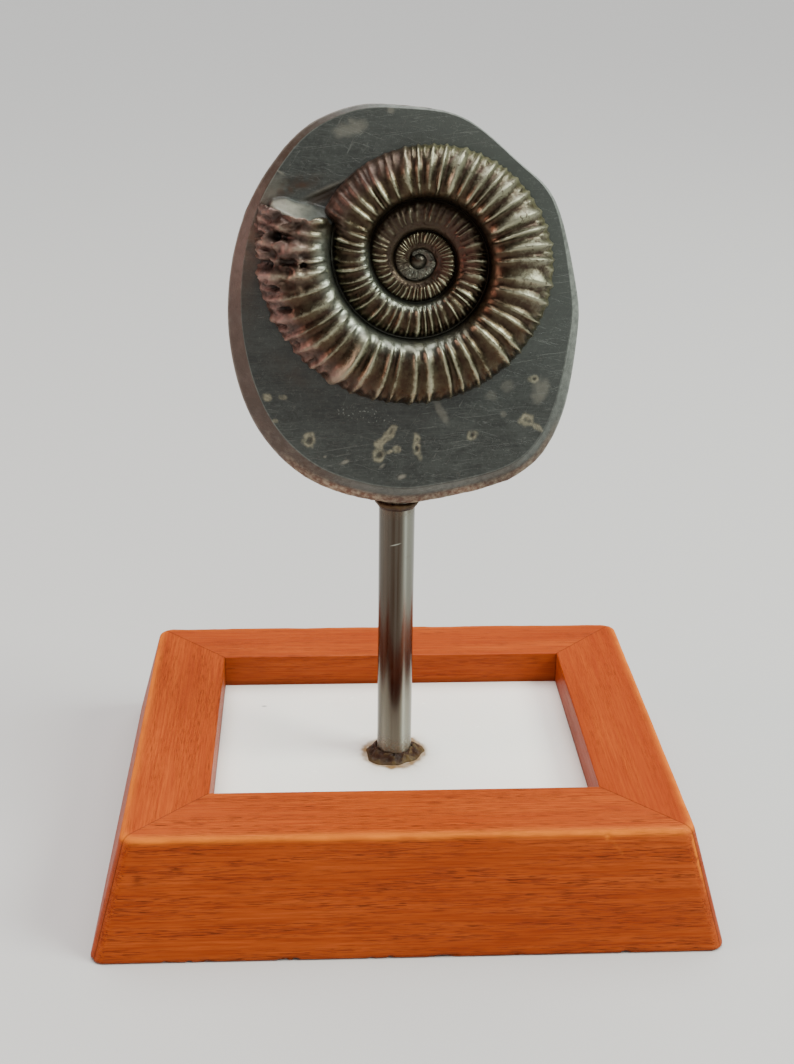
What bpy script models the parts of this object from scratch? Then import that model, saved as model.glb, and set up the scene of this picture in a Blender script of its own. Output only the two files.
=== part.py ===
"""A fossil ammonite in a slab of its own stone, glued on a steel rod over a wood and marble stand.

Units are metres and +Z is up. The origin is on the surface that the stand rests on, under its middle.
The fossil faces -Y and leans back a little. The shell's whorls coil inwards from the broken mouth,
which is on the left as seen from the front.
"""

from math import cos, pi, radians, sin, sqrt

import bmesh
import bpy
import numpy as np
from mathutils import Vector

MM = 0.001
GAP = 0.3 * MM                    # clearance between two pieces that touch

# Wooden frame
FRAME_WIDTH = 120 * MM            # outside, along the top edges
FRAME_DEPTH = 100 * MM
FRAME_HEIGHT = 26 * MM
RAIL_FACE = 17.5 * MM             # width of a rail's top face
RAIL_FLARE = 7 * MM               # how far the foot of the outer face stands out
RAIL_ARRIS = 1.0 * MM             # rounding of the long edges outside
CORNER_RADIUS = 3.0 * MM          # rounding of the four upright corners
LEDGE_WIDTH = 6 * MM              # rebate under the marble
LEDGE_TOP = 10 * MM

# Marble plate
RECESS = 8 * MM                   # how far the marble lies below the top of the frame
MARBLE_TOP = FRAME_HEIGHT - RECESS

# Steel rod
ROD_RADIUS = 4 * MM
ROD_X = -1.0 * MM
ROD_Y = -2.4 * MM
ROD_CHAMFER = 0.4 * MM
ROD_SIDES = 32
SOCKET_DEPTH = 6 * MM             # how far the rod goes into the slab

# Stone slab, in its own frame: x to the right, y up, z out of the ground face
SLAB_LEAN = radians(8)
SLAB_THICKNESS = 14 * MM
SLAB_BACK_EDGE = 12 * MM          # depth at which the side wall turns into the back
SLAB_SIDES = 72
SLAB_UNDERSIDE_Z = 82.4 * MM      # height of the slab's underside at the rod's axis
ROD_DEPTH_IN_SLAB = 8 * MM        # the rod's axis behind the ground face, at the underside
BEVEL_MEAN = 2.15 * MM            # the ground bevel round the face is widest at the bottom
BEVEL_LOWER = 1.5 * MM
BEVEL_LEFT = 0.45 * MM
BEVEL_SLOPE = 0.8                 # depth of the bevel over its width
SLAB_OUTLINE = [                  # from the middle of the coil, counterclockwise from the upper right, in mm
    (9.0, 29.1), (-3.5, 31.3), (-14.3, 31.0), (-25.9, 24.8), (-36.6, 8.5), (-40.2, -12.8),
    (-35.8, -33.2), (-24.4, -46.6), (-8.0, -52.2), (5.5, -51.4), (22.9, -45.8), (31.1, -34.0),
    (34.1, -14.9), (33.4, -5.4), (28.4, 12.5), (20.7, 20.0),
]

# Shell. Angles run along the coil from the left of the middle, downwards and inwards, in degrees.
RIBS_PER_WHORL = 46
STEPS_PER_RIB = 3
STEPS_PER_WHORL = RIBS_PER_WHORL * STEPS_PER_RIB
ROWS = 6                          # faces across a whorl
MOUTH_ANGLE = -22.0               # the broken end of the last whorl
COVER_START = 332.0               # from here inwards the last whorl covers the flank of the one inside
COVER_END = 338.0
CENTRE_ANGLE = 1218.0             # where the coil ends in the middle
FREE_EDGE = [                     # angle, radius in mm of the outer edge on the slab's face
    (-22, 34.9), (0, 33.9), (45, 31.7), (90, 29.95), (135, 28.8), (180, 28.1), (225, 25.9),
    (270, 23.5), (315, 22.4), (338, 22.2),
]
SEAM_EDGE = [                     # angle, radius in mm of the seam between two whorls
    (332, 19.3), (360, 18.14), (405, 16.75), (450, 15.9), (540, 14.4), (630, 12.65), (690, 11.2),
    (720, 10.2), (765, 9.1), (810, 8.5), (900, 7.8), (990, 6.3), (1080, 5.3), (1170, 4.0),
    (1260, 3.3), (1350, 2.5), (1440, 2.0), (1580, 1.5),
]
CREST_HEIGHT = [                  # angle, height in mm of a whorl's crest above the slab's face
    (-22, 7.6), (180, 6.6), (338, 5.0), (540, 3.5), (720, 2.6), (900, 2.0), (1080, 1.5), (1300, 1.1),
]
SEAM_HEIGHT = [                   # angle, height in mm of the seam outside a whorl
    (338, 1.0), (450, 1.3), (720, 0.9), (1080, 0.6), (1580, 0.5),
]
CREST_PLACE = -0.15               # where the crest lies across a whorl, from -1 inside to 1 outside
WALL_POWER = 3.0                  # steepness of the inner wall and of the outer flank
FLANK_POWER = 2.3
RIB_START = -0.75                 # the ribs begin at the shoulder of the inner wall
RIB_HEIGHT = 0.085                # rib relief over the whorl's height
SHELL_DEPTH = 2.0 * MM            # how deep the shell goes into the stone
KNOB_HEIGHT = 1.3 * MM            # the first chamber, in the middle of the coil

# Glue
COLLAR_RADIUS = 7.0 * MM
COLLAR_HEIGHT = 2.6 * MM
COLLAR_WOBBLE = 0.9 * MM
COLLAR_EDGE = 0.5 * MM
COLLAR_STEPS = 32
TOP_GLUE_RADIUS = 4.9 * MM
TOP_GLUE_HEIGHT = 1.6 * MM
TOP_GLUE_EDGE = 0.5 * MM
TOP_GLUE_WOBBLE = 0.15 * MM


def clear_scene():
    for thing in list(bpy.data.objects):
        bpy.data.objects.remove(thing, do_unlink=True)


def material(name, color, roughness, metallic=0.0):
    made = bpy.data.materials.new(name)
    made.use_nodes = True
    shader = made.node_tree.nodes["Principled BSDF"]
    shader.inputs["Base Color"].default_value = (*color, 1.0)
    shader.inputs["Roughness"].default_value = roughness
    shader.inputs["Metallic"].default_value = metallic
    return made


def mesh_object(name, points, faces, finish=None):
    """An object from points and faces, with its faces turned outwards."""
    mesh = bpy.data.meshes.new(name)
    mesh.from_pydata([tuple(map(float, point)) for point in points], [], faces)
    build = bmesh.new()
    build.from_mesh(mesh)
    bmesh.ops.recalc_face_normals(build, faces=build.faces)
    build.to_mesh(mesh)
    build.free()
    made = bpy.data.objects.new(name, mesh)
    bpy.context.scene.collection.objects.link(made)
    if finish:
        mesh.materials.append(finish)
    return made


def loft(name, rings, finish=None):
    """A closed solid through rings of equally many points, with flat ends."""
    count = len(rings[0])
    points = [point for ring in rings for point in ring]
    faces = []
    for level in range(len(rings) - 1):
        for side in range(count):
            following = (side + 1) % count
            low = level * count
            high = low + count
            faces.append((low + side, low + following, high + following, high + side))
    last = (len(rings) - 1) * count
    faces.append(tuple(range(count)))
    faces.append(tuple(range(last, last + count)))
    return mesh_object(name, points, faces, finish)


def ring_solid(name, sections, finish=None):
    """A closed ring through sections of equally many points, the last joined to the first."""
    count = len(sections[0])
    points = [point for section in sections for point in section]
    faces = []
    for step in range(len(sections)):
        here = step * count
        there = (step + 1) % len(sections) * count
        for side in range(count):
            following = (side + 1) % count
            faces.append((here + side, here + following, there + following, there + side))
    return mesh_object(name, points, faces, finish)


def circle(radius, z, sides, x=0.0, y=0.0):
    return [(x + radius * cos(2 * pi * k / sides), y + radius * sin(2 * pi * k / sides), z)
            for k in range(sides)]


def cut(target, cutter):
    """Takes the cutter's volume out of the target."""
    cutter.hide_render = True
    cutter.display_type = "WIRE"
    boolean = target.modifiers.new("cut_" + cutter.name, "BOOLEAN")
    boolean.operation = "DIFFERENCE"
    boolean.object = cutter


def smooth(thing, angle):
    thing.data.shade_smooth()
    thing.data.set_sharp_from_angle(angle=radians(angle))


def closed_curve(knots, count):
    """Points on a smooth closed curve through the knots, spaced evenly along it."""
    knots = np.array(knots, float)
    steps = 24
    t = np.arange(steps)[:, None] / steps
    pieces = []
    for k in range(len(knots)):
        before, start, end, after = (knots[(k + shift) % len(knots)] for shift in (-1, 0, 1, 2))
        pieces.append(0.5 * (2 * start + (end - before) * t
                             + (2 * before - 5 * start + 4 * end - after) * t ** 2
                             + (3 * start - before - 3 * end + after) * t ** 3))
    fine = np.vstack(pieces)
    closed = np.vstack([fine, fine[:1]])
    length = np.concatenate([[0], np.cumsum(np.linalg.norm(np.diff(closed, axis=0), axis=1))])
    at = np.linspace(0, length[-1], count, endpoint=False)
    return np.stack([np.interp(at, length, closed[:, axis]) for axis in (0, 1)], axis=1)


def smooth_value(knots, at):
    """A smooth value between knots of (place, value), flat beyond both ends."""
    place, value = np.array(knots, float).T
    slope = np.gradient(value, place)
    at = np.clip(at, place[0], place[-1])
    k = np.clip(np.searchsorted(place, at, side="right") - 1, 0, len(place) - 2)
    width = place[k + 1] - place[k]
    t = (at - place[k]) / width
    return ((2 * t ** 3 - 3 * t ** 2 + 1) * value[k] + (t ** 3 - 2 * t ** 2 + t) * width * slope[k]
            + (3 * t ** 2 - 2 * t ** 3) * value[k + 1] + (t ** 3 - t ** 2) * width * slope[k + 1])


def offset_outline(outline, distance):
    """The outline moved outwards by a distance, for one that runs counterclockwise."""
    before = outline - np.roll(outline, 1, axis=0)
    after = np.roll(outline, -1, axis=0) - outline
    normals = []
    for edge in (before, after):
        unit = edge / np.linalg.norm(edge, axis=1, keepdims=True)
        normals.append(np.stack([unit[:, 1], -unit[:, 0]], axis=1))
    half = (normals[0] + normals[1]) / 2
    squared = np.maximum((half ** 2).sum(axis=1, keepdims=True), 0.35)
    return outline + distance * half / squared


def slab_outline():
    return closed_curve(SLAB_OUTLINE, SLAB_SIDES) * MM


def bevel_width(outline):
    """Width of the bevel at each outline point, from its direction seen from the slab's middle."""
    middle = (outline.max(axis=0) + outline.min(axis=0)) / 2
    away = outline - middle
    unit = away / np.linalg.norm(away, axis=1, keepdims=True)
    return BEVEL_MEAN - BEVEL_LOWER * unit[:, 1] - BEVEL_LEFT * unit[:, 0]


def outer_edge(angle):
    """Radius of a whorl's outer edge: free on the slab's face, or the seam with the whorl outside it."""
    share = np.clip((angle - COVER_START) / (COVER_END - COVER_START), 0, 1)
    share = share * share * (3 - 2 * share)
    return ((1 - share) * smooth_value(FREE_EDGE, angle) + share * smooth_value(SEAM_EDGE, angle)) * MM


def inner_edge(angle):
    """Radius of a whorl's inner edge, which is the outer edge of the whorl inside it."""
    return smooth_value(SEAM_EDGE, angle + 360) * MM


def edge_height(angle):
    """Height of a whorl's outer edge: on the slab's face where it is free, or the seam's height."""
    share = np.clip((angle - COVER_START) / (COVER_END - COVER_START), 0, 1)
    return share * smooth_value(SEAM_HEIGHT, angle) * MM


def whorl_points():
    """Shell points by step along the coil and row across it, from the inner edge to the outer."""
    steps = round((CENTRE_ANGLE - MOUTH_ANGLE) / 360 * STEPS_PER_WHORL)
    step = np.arange(steps + 1)
    angle = (MOUTH_ANGLE + step * 360 / STEPS_PER_WHORL)[:, None]
    across = -np.cos(np.linspace(0, pi, ROWS + 1))[None, :]
    inner = inner_edge(angle)
    outer = outer_edge(angle)
    crest = smooth_value(CREST_HEIGHT, angle) * MM
    base_in = edge_height(angle + 360)
    base_out = edge_height(angle)
    place = (across + 1) / 2
    power = np.where(across < CREST_PLACE, WALL_POWER, FLANK_POWER)
    reach = np.where(across < CREST_PLACE, (CREST_PLACE - across) / (CREST_PLACE + 1),
                     (across - CREST_PLACE) / (1 - CREST_PLACE))
    arch = np.sqrt(np.maximum(1 - reach ** power, 0))
    base = base_in + (base_out - base_in) * place
    height = base + (crest - base) * arch
    rib = np.where(step % STEPS_PER_RIB == 0, 1.0, -0.4)[:, None]
    relief = rib * RIB_HEIGHT * crest * (across > RIB_START)
    seam = (across > 0.99) & (angle > COVER_START)
    relief = np.where(seam, 0.0, relief)
    radius = inner + (outer - inner) * place + relief * np.maximum(across, 0)
    height = height + relief * arch
    turn = np.radians(angle + 180)
    return np.stack(np.broadcast_arrays(radius * np.cos(turn), radius * np.sin(turn), height), axis=-1)


def shell_outline(points):
    """The shell's edge on the slab's face, counterclockwise: round the free whorl, then the mouth."""
    free = points[:STEPS_PER_WHORL, ROWS, :2]
    mouth = points[0, :ROWS, :2]
    return np.vstack([free, mouth])


def make_ammonite(finish):
    points = whorl_points()
    steps = len(points) - 1
    table = {}
    vertices = []

    def index(step, row):
        """One vertex for the inner edge of a whorl and the outer edge of the whorl inside it."""
        if row == ROWS and step >= STEPS_PER_WHORL:
            step, row = step - STEPS_PER_WHORL, 0
        if (step, row) not in table:
            table[step, row] = len(vertices)
            vertices.append(points[step, row])
        return table[step, row]

    faces = []
    for step in range(steps):
        for row in range(ROWS):
            faces.append((index(step, row), index(step, row + 1),
                          index(step + 1, row + 1), index(step + 1, row)))

    rim = [index(step, 0) for step in range(steps - STEPS_PER_WHORL, steps + 1)]
    rim += [index(steps, row) for row in range(1, ROWS)]
    knob = len(vertices)
    middle = np.mean([vertices[k] for k in rim], axis=0)
    vertices.append((middle[0], middle[1], KNOB_HEIGHT))
    faces += [(a, b, knob) for a, b in zip(rim, rim[1:] + rim[:1])]

    edge = [index(step, ROWS) for step in range(STEPS_PER_WHORL)]
    edge += [index(0, row) for row in range(ROWS)]
    outline = shell_outline(points)
    foot = list(range(len(vertices), len(vertices) + len(edge)))
    vertices += [(x, y, -SHELL_DEPTH) for x, y in outline]
    for k in range(len(edge)):
        following = (k + 1) % len(edge)
        faces.append((edge[k], edge[following], foot[following], foot[k]))
    faces.append(tuple(foot))

    made = mesh_object("ammonite", vertices, faces, finish)
    smooth(made, 50)
    return made, outline


def make_slab(finish, shell_edge, specimen):
    outline = slab_outline()
    bevel = bevel_width(outline)
    face = offset_outline(outline, -1.0)
    inwards = (face - outline) / np.linalg.norm(face - outline, axis=1, keepdims=True)

    def ring(inset, depth):
        inner = outline + inwards * np.reshape(inset, (-1, 1))
        return [(x, y, z) for (x, y), z in zip(inner, np.broadcast_to(-np.asarray(depth), len(inner)))]

    back = SLAB_THICKNESS
    rings = [
        ring(bevel, 0.0),
        ring(0.0, BEVEL_SLOPE * bevel),
        ring(0.0, SLAB_BACK_EDGE),
        ring(1.5 * MM, back - 0.6 * MM),
        ring(5 * MM, back),
    ]
    slab = loft("matrix_slab", rings, finish)

    pocket_edge = offset_outline(shell_edge, GAP)
    pocket = loft("pocket_cutter", [
        [(x, y, -SHELL_DEPTH - GAP) for x, y in pocket_edge],
        [(x, y, SHELL_DEPTH) for x, y in pocket_edge],
    ])
    pocket.parent = specimen
    socket_top = SLAB_UNDERSIDE_Z + SOCKET_DEPTH + GAP
    socket = loft("socket_cutter", [
        circle(ROD_RADIUS + GAP, SLAB_UNDERSIDE_Z - SLAB_THICKNESS, ROD_SIDES, ROD_X, ROD_Y),
        circle(ROD_RADIUS + GAP, socket_top, ROD_SIDES, ROD_X, ROD_Y),
    ])
    slab.parent = specimen
    cut(slab, pocket)
    cut(slab, socket)
    smooth(slab, 35)
    return slab


def underside_height(x, y, coil_middle):
    """World height of the slab's underside over a point of the floor."""
    outline = slab_outline()
    lower = outline[outline[:, 1] < -45 * MM]
    lower = lower[np.argsort(lower[:, 0])]
    edge = np.interp(x - coil_middle.x, lower[:, 0], lower[:, 1])
    # a point of the side wall is at edge * up + depth * out, so its depth follows from y
    depth = (edge * sin(SLAB_LEAN) - (y - coil_middle.y)) / cos(SLAB_LEAN)
    return coil_middle.z + edge * cos(SLAB_LEAN) + depth * sin(SLAB_LEAN)


def make_rod(finish):
    foot = LEDGE_TOP + GAP
    top = SLAB_UNDERSIDE_Z + SOCKET_DEPTH
    narrow = ROD_RADIUS - ROD_CHAMFER
    levels = [(narrow, foot), (ROD_RADIUS, foot + ROD_CHAMFER), (ROD_RADIUS, top - ROD_CHAMFER),
              (narrow, top)]
    rod = loft("rod", [circle(radius, z, ROD_SIDES, ROD_X, ROD_Y) for radius, z in levels], finish)
    smooth(rod, 35)
    return rod


def make_glue_collar(finish):
    """Glue round the foot of the rod: a low cone with a wavy edge."""
    inside = ROD_RADIUS + GAP
    low = MARBLE_TOP + GAP
    sections = []
    for step in range(COLLAR_STEPS):
        turn = 2 * pi * step / COLLAR_STEPS
        wave = 0.5 * sin(2 * turn + 0.6) + 0.3 * sin(3 * turn + 2.0) + 0.2 * sin(7 * turn)
        outside = COLLAR_RADIUS + COLLAR_WOBBLE * wave
        height = COLLAR_HEIGHT + COLLAR_WOBBLE * 0.5 * sin(2 * turn + 2.5)
        profile = [(inside, low), (outside, low), (outside, low + COLLAR_EDGE),
                   (0.55 * inside + 0.45 * outside, low + 0.6 * height), (inside, low + height)]
        sections.append([(ROD_X + r * cos(turn), ROD_Y + r * sin(turn), z) for r, z in profile])
    collar = ring_solid("glue_collar", sections, finish)
    smooth(collar, 50)
    return collar


def make_top_glue(finish, coil_middle):
    """Glue under the slab, round the top of the rod, following the slab's underside."""
    inside = ROD_RADIUS + GAP
    sections = []
    for step in range(ROD_SIDES):
        turn = 2 * pi * step / ROD_SIDES
        outside = TOP_GLUE_RADIUS + TOP_GLUE_WOBBLE * sin(3 * turn + 1.0)
        height = TOP_GLUE_HEIGHT + 2 * TOP_GLUE_WOBBLE * sin(2 * turn)
        section = []
        for radius, drop in ((inside, 0.0), (outside, 0.0), (outside, TOP_GLUE_EDGE), (inside, height)):
            x = ROD_X + radius * cos(turn)
            y = ROD_Y + radius * sin(turn)
            section.append((x, y, underside_height(x, y, coil_middle) - GAP - drop))
        sections.append(section)
    glue = ring_solid("top_glue", sections, finish)
    smooth(glue, 50)
    return glue


def make_marble(finish):
    half_x = FRAME_WIDTH / 2 - RAIL_FACE - GAP
    half_y = FRAME_DEPTH / 2 - RAIL_FACE - GAP
    corners = [(-half_x, -half_y), (half_x, -half_y), (half_x, half_y), (-half_x, half_y)]
    rings = [[(x, y, z) for x, y in corners] for z in (LEDGE_TOP + GAP, MARBLE_TOP)]
    marble = loft("marble_slab", rings, finish)
    hole = loft("rod_hole_cutter", [
        circle(ROD_RADIUS + GAP, LEDGE_TOP - RECESS, ROD_SIDES, ROD_X, ROD_Y),
        circle(ROD_RADIUS + GAP, MARBLE_TOP + RECESS, ROD_SIDES, ROD_X, ROD_Y),
    ])
    cut(marble, hole)
    return marble


def rail_section():
    """A rail's section as (outwards from the top edge, height, whether the corner rounding reaches it)."""
    slope = RAIL_FLARE / FRAME_HEIGHT
    foot = RAIL_FLARE - slope * RAIL_ARRIS
    soft = 0.3 * RAIL_ARRIS
    return [
        (RAIL_FLARE - RAIL_ARRIS, 0.0, True),
        (foot, RAIL_ARRIS, True),
        (slope * RAIL_ARRIS, FRAME_HEIGHT - RAIL_ARRIS, True),
        (-soft, FRAME_HEIGHT - soft, True),
        (-RAIL_ARRIS, FRAME_HEIGHT, True),
        (-RAIL_FACE, FRAME_HEIGHT, False),
        (-RAIL_FACE, LEDGE_TOP, False),
        (-RAIL_FACE - LEDGE_WIDTH, LEDGE_TOP, False),
        (-RAIL_FACE - LEDGE_WIDTH, 0.0, False),
    ]


def make_rail(name, half_length, half_across, turn, finish):
    """A mitred rail along its own x, its outer face towards its own -y, then turned about z."""
    turns = [radians(45), radians(22), 0.0]
    mitre_gap = GAP / sqrt(2)
    rings = []
    for end in (-1, 1):
        for bend in (turns if end < 0 else turns[::-1]):
            ring = []
            for out, z, rounded in rail_section():
                radius = CORNER_RADIUS if rounded else 0.0
                along = (half_length + out - radius * (1 - sin(radians(45)))
                         - CORNER_RADIUS * (sin(radians(45)) - sin(bend)) - mitre_gap)
                across = half_across + out - radius * (1 - cos(bend))
                ring.append((end * along, -across, z))
            rings.append(ring)
    rail = loft(name, rings, finish)
    rail.rotation_euler = (0, 0, turn)
    smooth(rail, 30)
    return rail


def make_frame(finishes):
    half_x = FRAME_WIDTH / 2
    half_y = FRAME_DEPTH / 2
    make_rail("front_rail", half_x, half_y, 0.0, finishes["front_rail"])
    make_rail("right_rail", half_y, half_x, radians(90), finishes["right_rail"])
    make_rail("back_rail", half_x, half_y, radians(180), finishes["back_rail"])
    make_rail("left_rail", half_y, half_x, radians(270), finishes["left_rail"])


def make_specimen_empty():
    """The slab's own frame: its origin is the middle of the coil, on the ground face."""
    depth = ROD_DEPTH_IN_SLAB
    outline = slab_outline()
    below = -float(outline[:, 1].min())
    specimen = bpy.data.objects.new("specimen", None)
    bpy.context.scene.collection.objects.link(specimen)
    up = Vector((0.0, sin(SLAB_LEAN), cos(SLAB_LEAN)))
    out = Vector((0.0, -cos(SLAB_LEAN), sin(SLAB_LEAN)))
    side = -float(outline[:, 0].max() + outline[:, 0].min()) / 2
    underside = Vector((side, ROD_Y, SLAB_UNDERSIDE_Z))
    specimen.location = underside + below * up + depth * out
    specimen.rotation_euler = (radians(90) - SLAB_LEAN, 0.0, 0.0)
    return specimen


def main():
    clear_scene()
    wood = {name: material("wood_" + name, (0.58, 0.16, 0.04), 0.35)
            for name in ("front_rail", "back_rail", "left_rail", "right_rail")}
    specimen = make_specimen_empty()
    ammonite, shell_edge = make_ammonite(material("bronze_shell", (0.21, 0.17, 0.10), 0.32, 0.8))
    ammonite.parent = specimen
    make_slab(material("grey_stone", (0.075, 0.08, 0.075), 0.45), shell_edge, specimen)
    make_top_glue(material("rust_glue", (0.12, 0.06, 0.025), 0.5), specimen.location)
    make_rod(material("polished_steel", (0.42, 0.42, 0.40), 0.22, 1.0))
    make_glue_collar(material("brown_glue", (0.10, 0.045, 0.02), 0.3))
    make_marble(material("white_marble", (0.80, 0.78, 0.75), 0.2))
    make_frame(wood)


main()
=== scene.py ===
"""Looks of a fossil ammonite in a slab of its stone, on a steel rod over a wood and marble stand.

Every surface is worked out with numpy, in metres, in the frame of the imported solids: +Z up, the fossil
facing -Y. A piece's object sits at the origin and its place is in its mesh. The slab and the shell are
worked out in the slab's own frame (x right, y up, z out of the ground face, from the middle of the coil)
and then carried into the world.
"""

import logging
from dataclasses import dataclass, field
from enum import Enum
from functools import reduce
from typing import Callable, Sequence

import bpy
import numpy as np
from mathutils import Matrix, Vector
from numpy.typing import NDArray

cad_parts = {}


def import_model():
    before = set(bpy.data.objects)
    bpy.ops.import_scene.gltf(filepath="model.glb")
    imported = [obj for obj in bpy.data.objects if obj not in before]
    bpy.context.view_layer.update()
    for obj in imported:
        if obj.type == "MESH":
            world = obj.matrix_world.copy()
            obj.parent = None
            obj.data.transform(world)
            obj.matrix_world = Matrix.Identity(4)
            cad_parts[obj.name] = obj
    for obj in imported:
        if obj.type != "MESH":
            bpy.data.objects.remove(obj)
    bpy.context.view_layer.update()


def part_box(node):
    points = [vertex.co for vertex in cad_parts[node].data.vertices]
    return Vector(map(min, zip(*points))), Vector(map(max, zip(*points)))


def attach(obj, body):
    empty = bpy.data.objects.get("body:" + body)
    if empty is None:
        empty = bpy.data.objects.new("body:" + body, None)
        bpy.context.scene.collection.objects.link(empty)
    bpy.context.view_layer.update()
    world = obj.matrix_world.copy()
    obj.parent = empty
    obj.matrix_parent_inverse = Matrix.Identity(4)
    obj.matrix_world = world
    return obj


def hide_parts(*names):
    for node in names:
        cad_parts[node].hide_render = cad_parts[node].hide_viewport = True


Array = NDArray[np.float64]
Whole = NDArray[np.int64]
Triple = tuple[float, float, float]
Knots = Sequence[tuple[float, float]]
Numbers = dict[str, Array]

LOG = logging.getLogger("ammonite")
MM = 0.001
TURN = 2 * np.pi
ROOT = "root"
HASH_STEPS = np.array([73856093, 19349663, 83492791])
HASH_SEED = 2654435761
HASH_SPREAD = 1274126177


# Arrays and noise

def smooth_value(knots: Knots, at: Array) -> Array:
    """A smooth value between knots: a cubic on each span, with central slopes, flat beyond both ends.

    Args:
        knots: places and values, in rising order of place.
        at: places to read.

    Returns:
        The value at each place.
    """
    place, value = np.array(knots, float).T
    slope = np.gradient(value, place)
    at = np.clip(at, place[0], place[-1])
    k = np.clip(np.searchsorted(place, at, side="right") - 1, 0, len(place) - 2)
    width = place[k + 1] - place[k]
    t = (at - place[k]) / width
    return ((2 * t ** 3 - 3 * t ** 2 + 1) * value[k] + (t ** 3 - 2 * t ** 2 + t) * width * slope[k]
            + (3 * t ** 2 - 2 * t ** 3) * value[k + 1] + (t ** 3 - t ** 2) * width * slope[k + 1])


def ramp(low: float, high: float, at: Array) -> Array:
    """A soft step from 0 at low to 1 at high, whichever is larger: 3 t squared less 2 t cubed."""
    t = np.clip((at - low) / (high - low), 0.0, 1.0)
    return t * t * (3 - 2 * t)


def bell(at: Array, middle: float, width: float) -> Array:
    """A bell of height 1: e to the power of less the square of the gap over the width."""
    return np.exp(-((at - middle) / width) ** 2)


def most(*values: Array) -> Array:
    """The largest of several arrays, point by point."""
    return reduce(np.maximum, values)


def xyz(x: Array | float, y: Array | float, z: Array | float) -> Array:
    """Points from their coordinates, which are spread over one shape."""
    return np.stack(np.broadcast_arrays(x, y, z), axis=-1)


def closed_curve(knots: Knots, count: int) -> Array:
    """Points on a smooth closed curve (Catmull-Rom) through the knots, spaced evenly along it.

    Args:
        knots: points in the plane, in order.
        count: how many points to return.

    Returns:
        Points of shape (count, 2).
    """
    start = np.array(knots, float)[:, None, :]
    before, end, after = (np.roll(start, shift, axis=0) for shift in (1, -1, -2))
    t = np.linspace(0, 1, 40, endpoint=False)[None, :, None]
    fine = 0.5 * (2 * start + (end - before) * t + (2 * before - 5 * start + 4 * end - after) * t ** 2
                  + (3 * start - before - 3 * end + after) * t ** 3)
    fine = fine.reshape(-1, 2)
    closed = np.vstack([fine, fine[:1]])
    length = np.concatenate([[0], np.cumsum(np.linalg.norm(np.diff(closed, axis=0), axis=1))])
    at = np.linspace(0, length[-1], count, endpoint=False)
    return np.stack([np.interp(at, length, closed[:, axis]) for axis in (0, 1)], axis=1)


def layered_noise(points: Array, cell: float, seed: int, layers: int = 3) -> Array:
    """Layers of smooth noise, each half the size and half the height of the one before.

    A layer has a hash from -1 to 1 at each corner of a cubic lattice, blended between the corners.

    Args:
        points: positions of shape (..., 3).
        cell: the first layer's lattice spacing, in the points' unit.
        seed: picks the pattern.
        layers: how many layers.

    Returns:
        Noise of shape (...).
    """
    total = np.zeros(points.shape[:-1])
    for layer in range(layers):
        scaled = points / (cell / 2 ** layer)
        base = np.floor(scaled).astype(np.int64)
        part = scaled - base
        blend = part * part * (3 - 2 * part)
        for corner in np.ndindex(2, 2, 2):
            mixed = np.bitwise_xor.reduce((base + corner) * HASH_STEPS, axis=-1)
            mixed = mixed ^ ((seed + layer) * HASH_SEED)
            mixed = (mixed ^ (mixed >> 13)) * HASH_SPREAD
            value = ((mixed ^ (mixed >> 16)) & 0xFFFF) / 32767.5 - 1.0
            weight = np.prod(np.where(np.array(corner) == 1, blend, 1 - blend), axis=-1)
            total += value * weight / 2 ** layer
    return total


def surface_normals(points: Array) -> Array:
    """Unit normals of a grid of points: the cross product of its two central differences."""
    normal = np.cross(np.gradient(points, axis=0), np.gradient(points, axis=1))
    return normal / np.maximum(np.linalg.norm(normal, axis=-1, keepdims=True), 1e-12)


# Meshes

def grid_quads(columns: int, rows: int, wrap_columns: bool = False, wrap_rows: bool = False) -> Whole:
    """Quads of a grid whose point (column, row) has the number column * rows + row.

    Args:
        columns: how many columns of points.
        rows: how many rows of points.
        wrap_columns: joins the last column to the first.
        wrap_rows: joins the last row to the first.

    Returns:
        Point numbers of shape (n, 4).
    """
    c = np.arange(columns if wrap_columns else columns - 1)[:, None]
    r = np.arange(rows if wrap_rows else rows - 1)[None, :]
    c2, r2 = (c + 1) % columns, (r + 1) % rows
    corners = np.broadcast_arrays(c * rows + r, c2 * rows + r, c2 * rows + r2, c * rows + r2)
    return np.stack(corners, axis=-1).reshape(-1, 4)


def fan_triangles(ring: Whole, tip: int) -> Whole:
    """Triangles from a closed ring of points to one tip."""
    return np.stack([ring, np.roll(ring, -1), np.full(len(ring), tip)], axis=1)


def close_ends(points: Array, first: Whole, last: Whole) -> tuple[Array, Whole]:
    """Closes a tube with a fan at each end, round the middle of the end's ring.

    Args:
        points: the tube's points, of shape (n, 3).
        first: numbers of the first ring's points.
        last: numbers of the last ring's points.

    Returns:
        The points with the two middles added, and the fans' triangles.
    """
    count = len(points)
    middles = [points[ring].mean(axis=0) for ring in (first, last)]
    return (np.vstack([points, middles]),
            np.vstack([fan_triangles(first, count)[:, ::-1], fan_triangles(last, count + 1)]))


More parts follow.
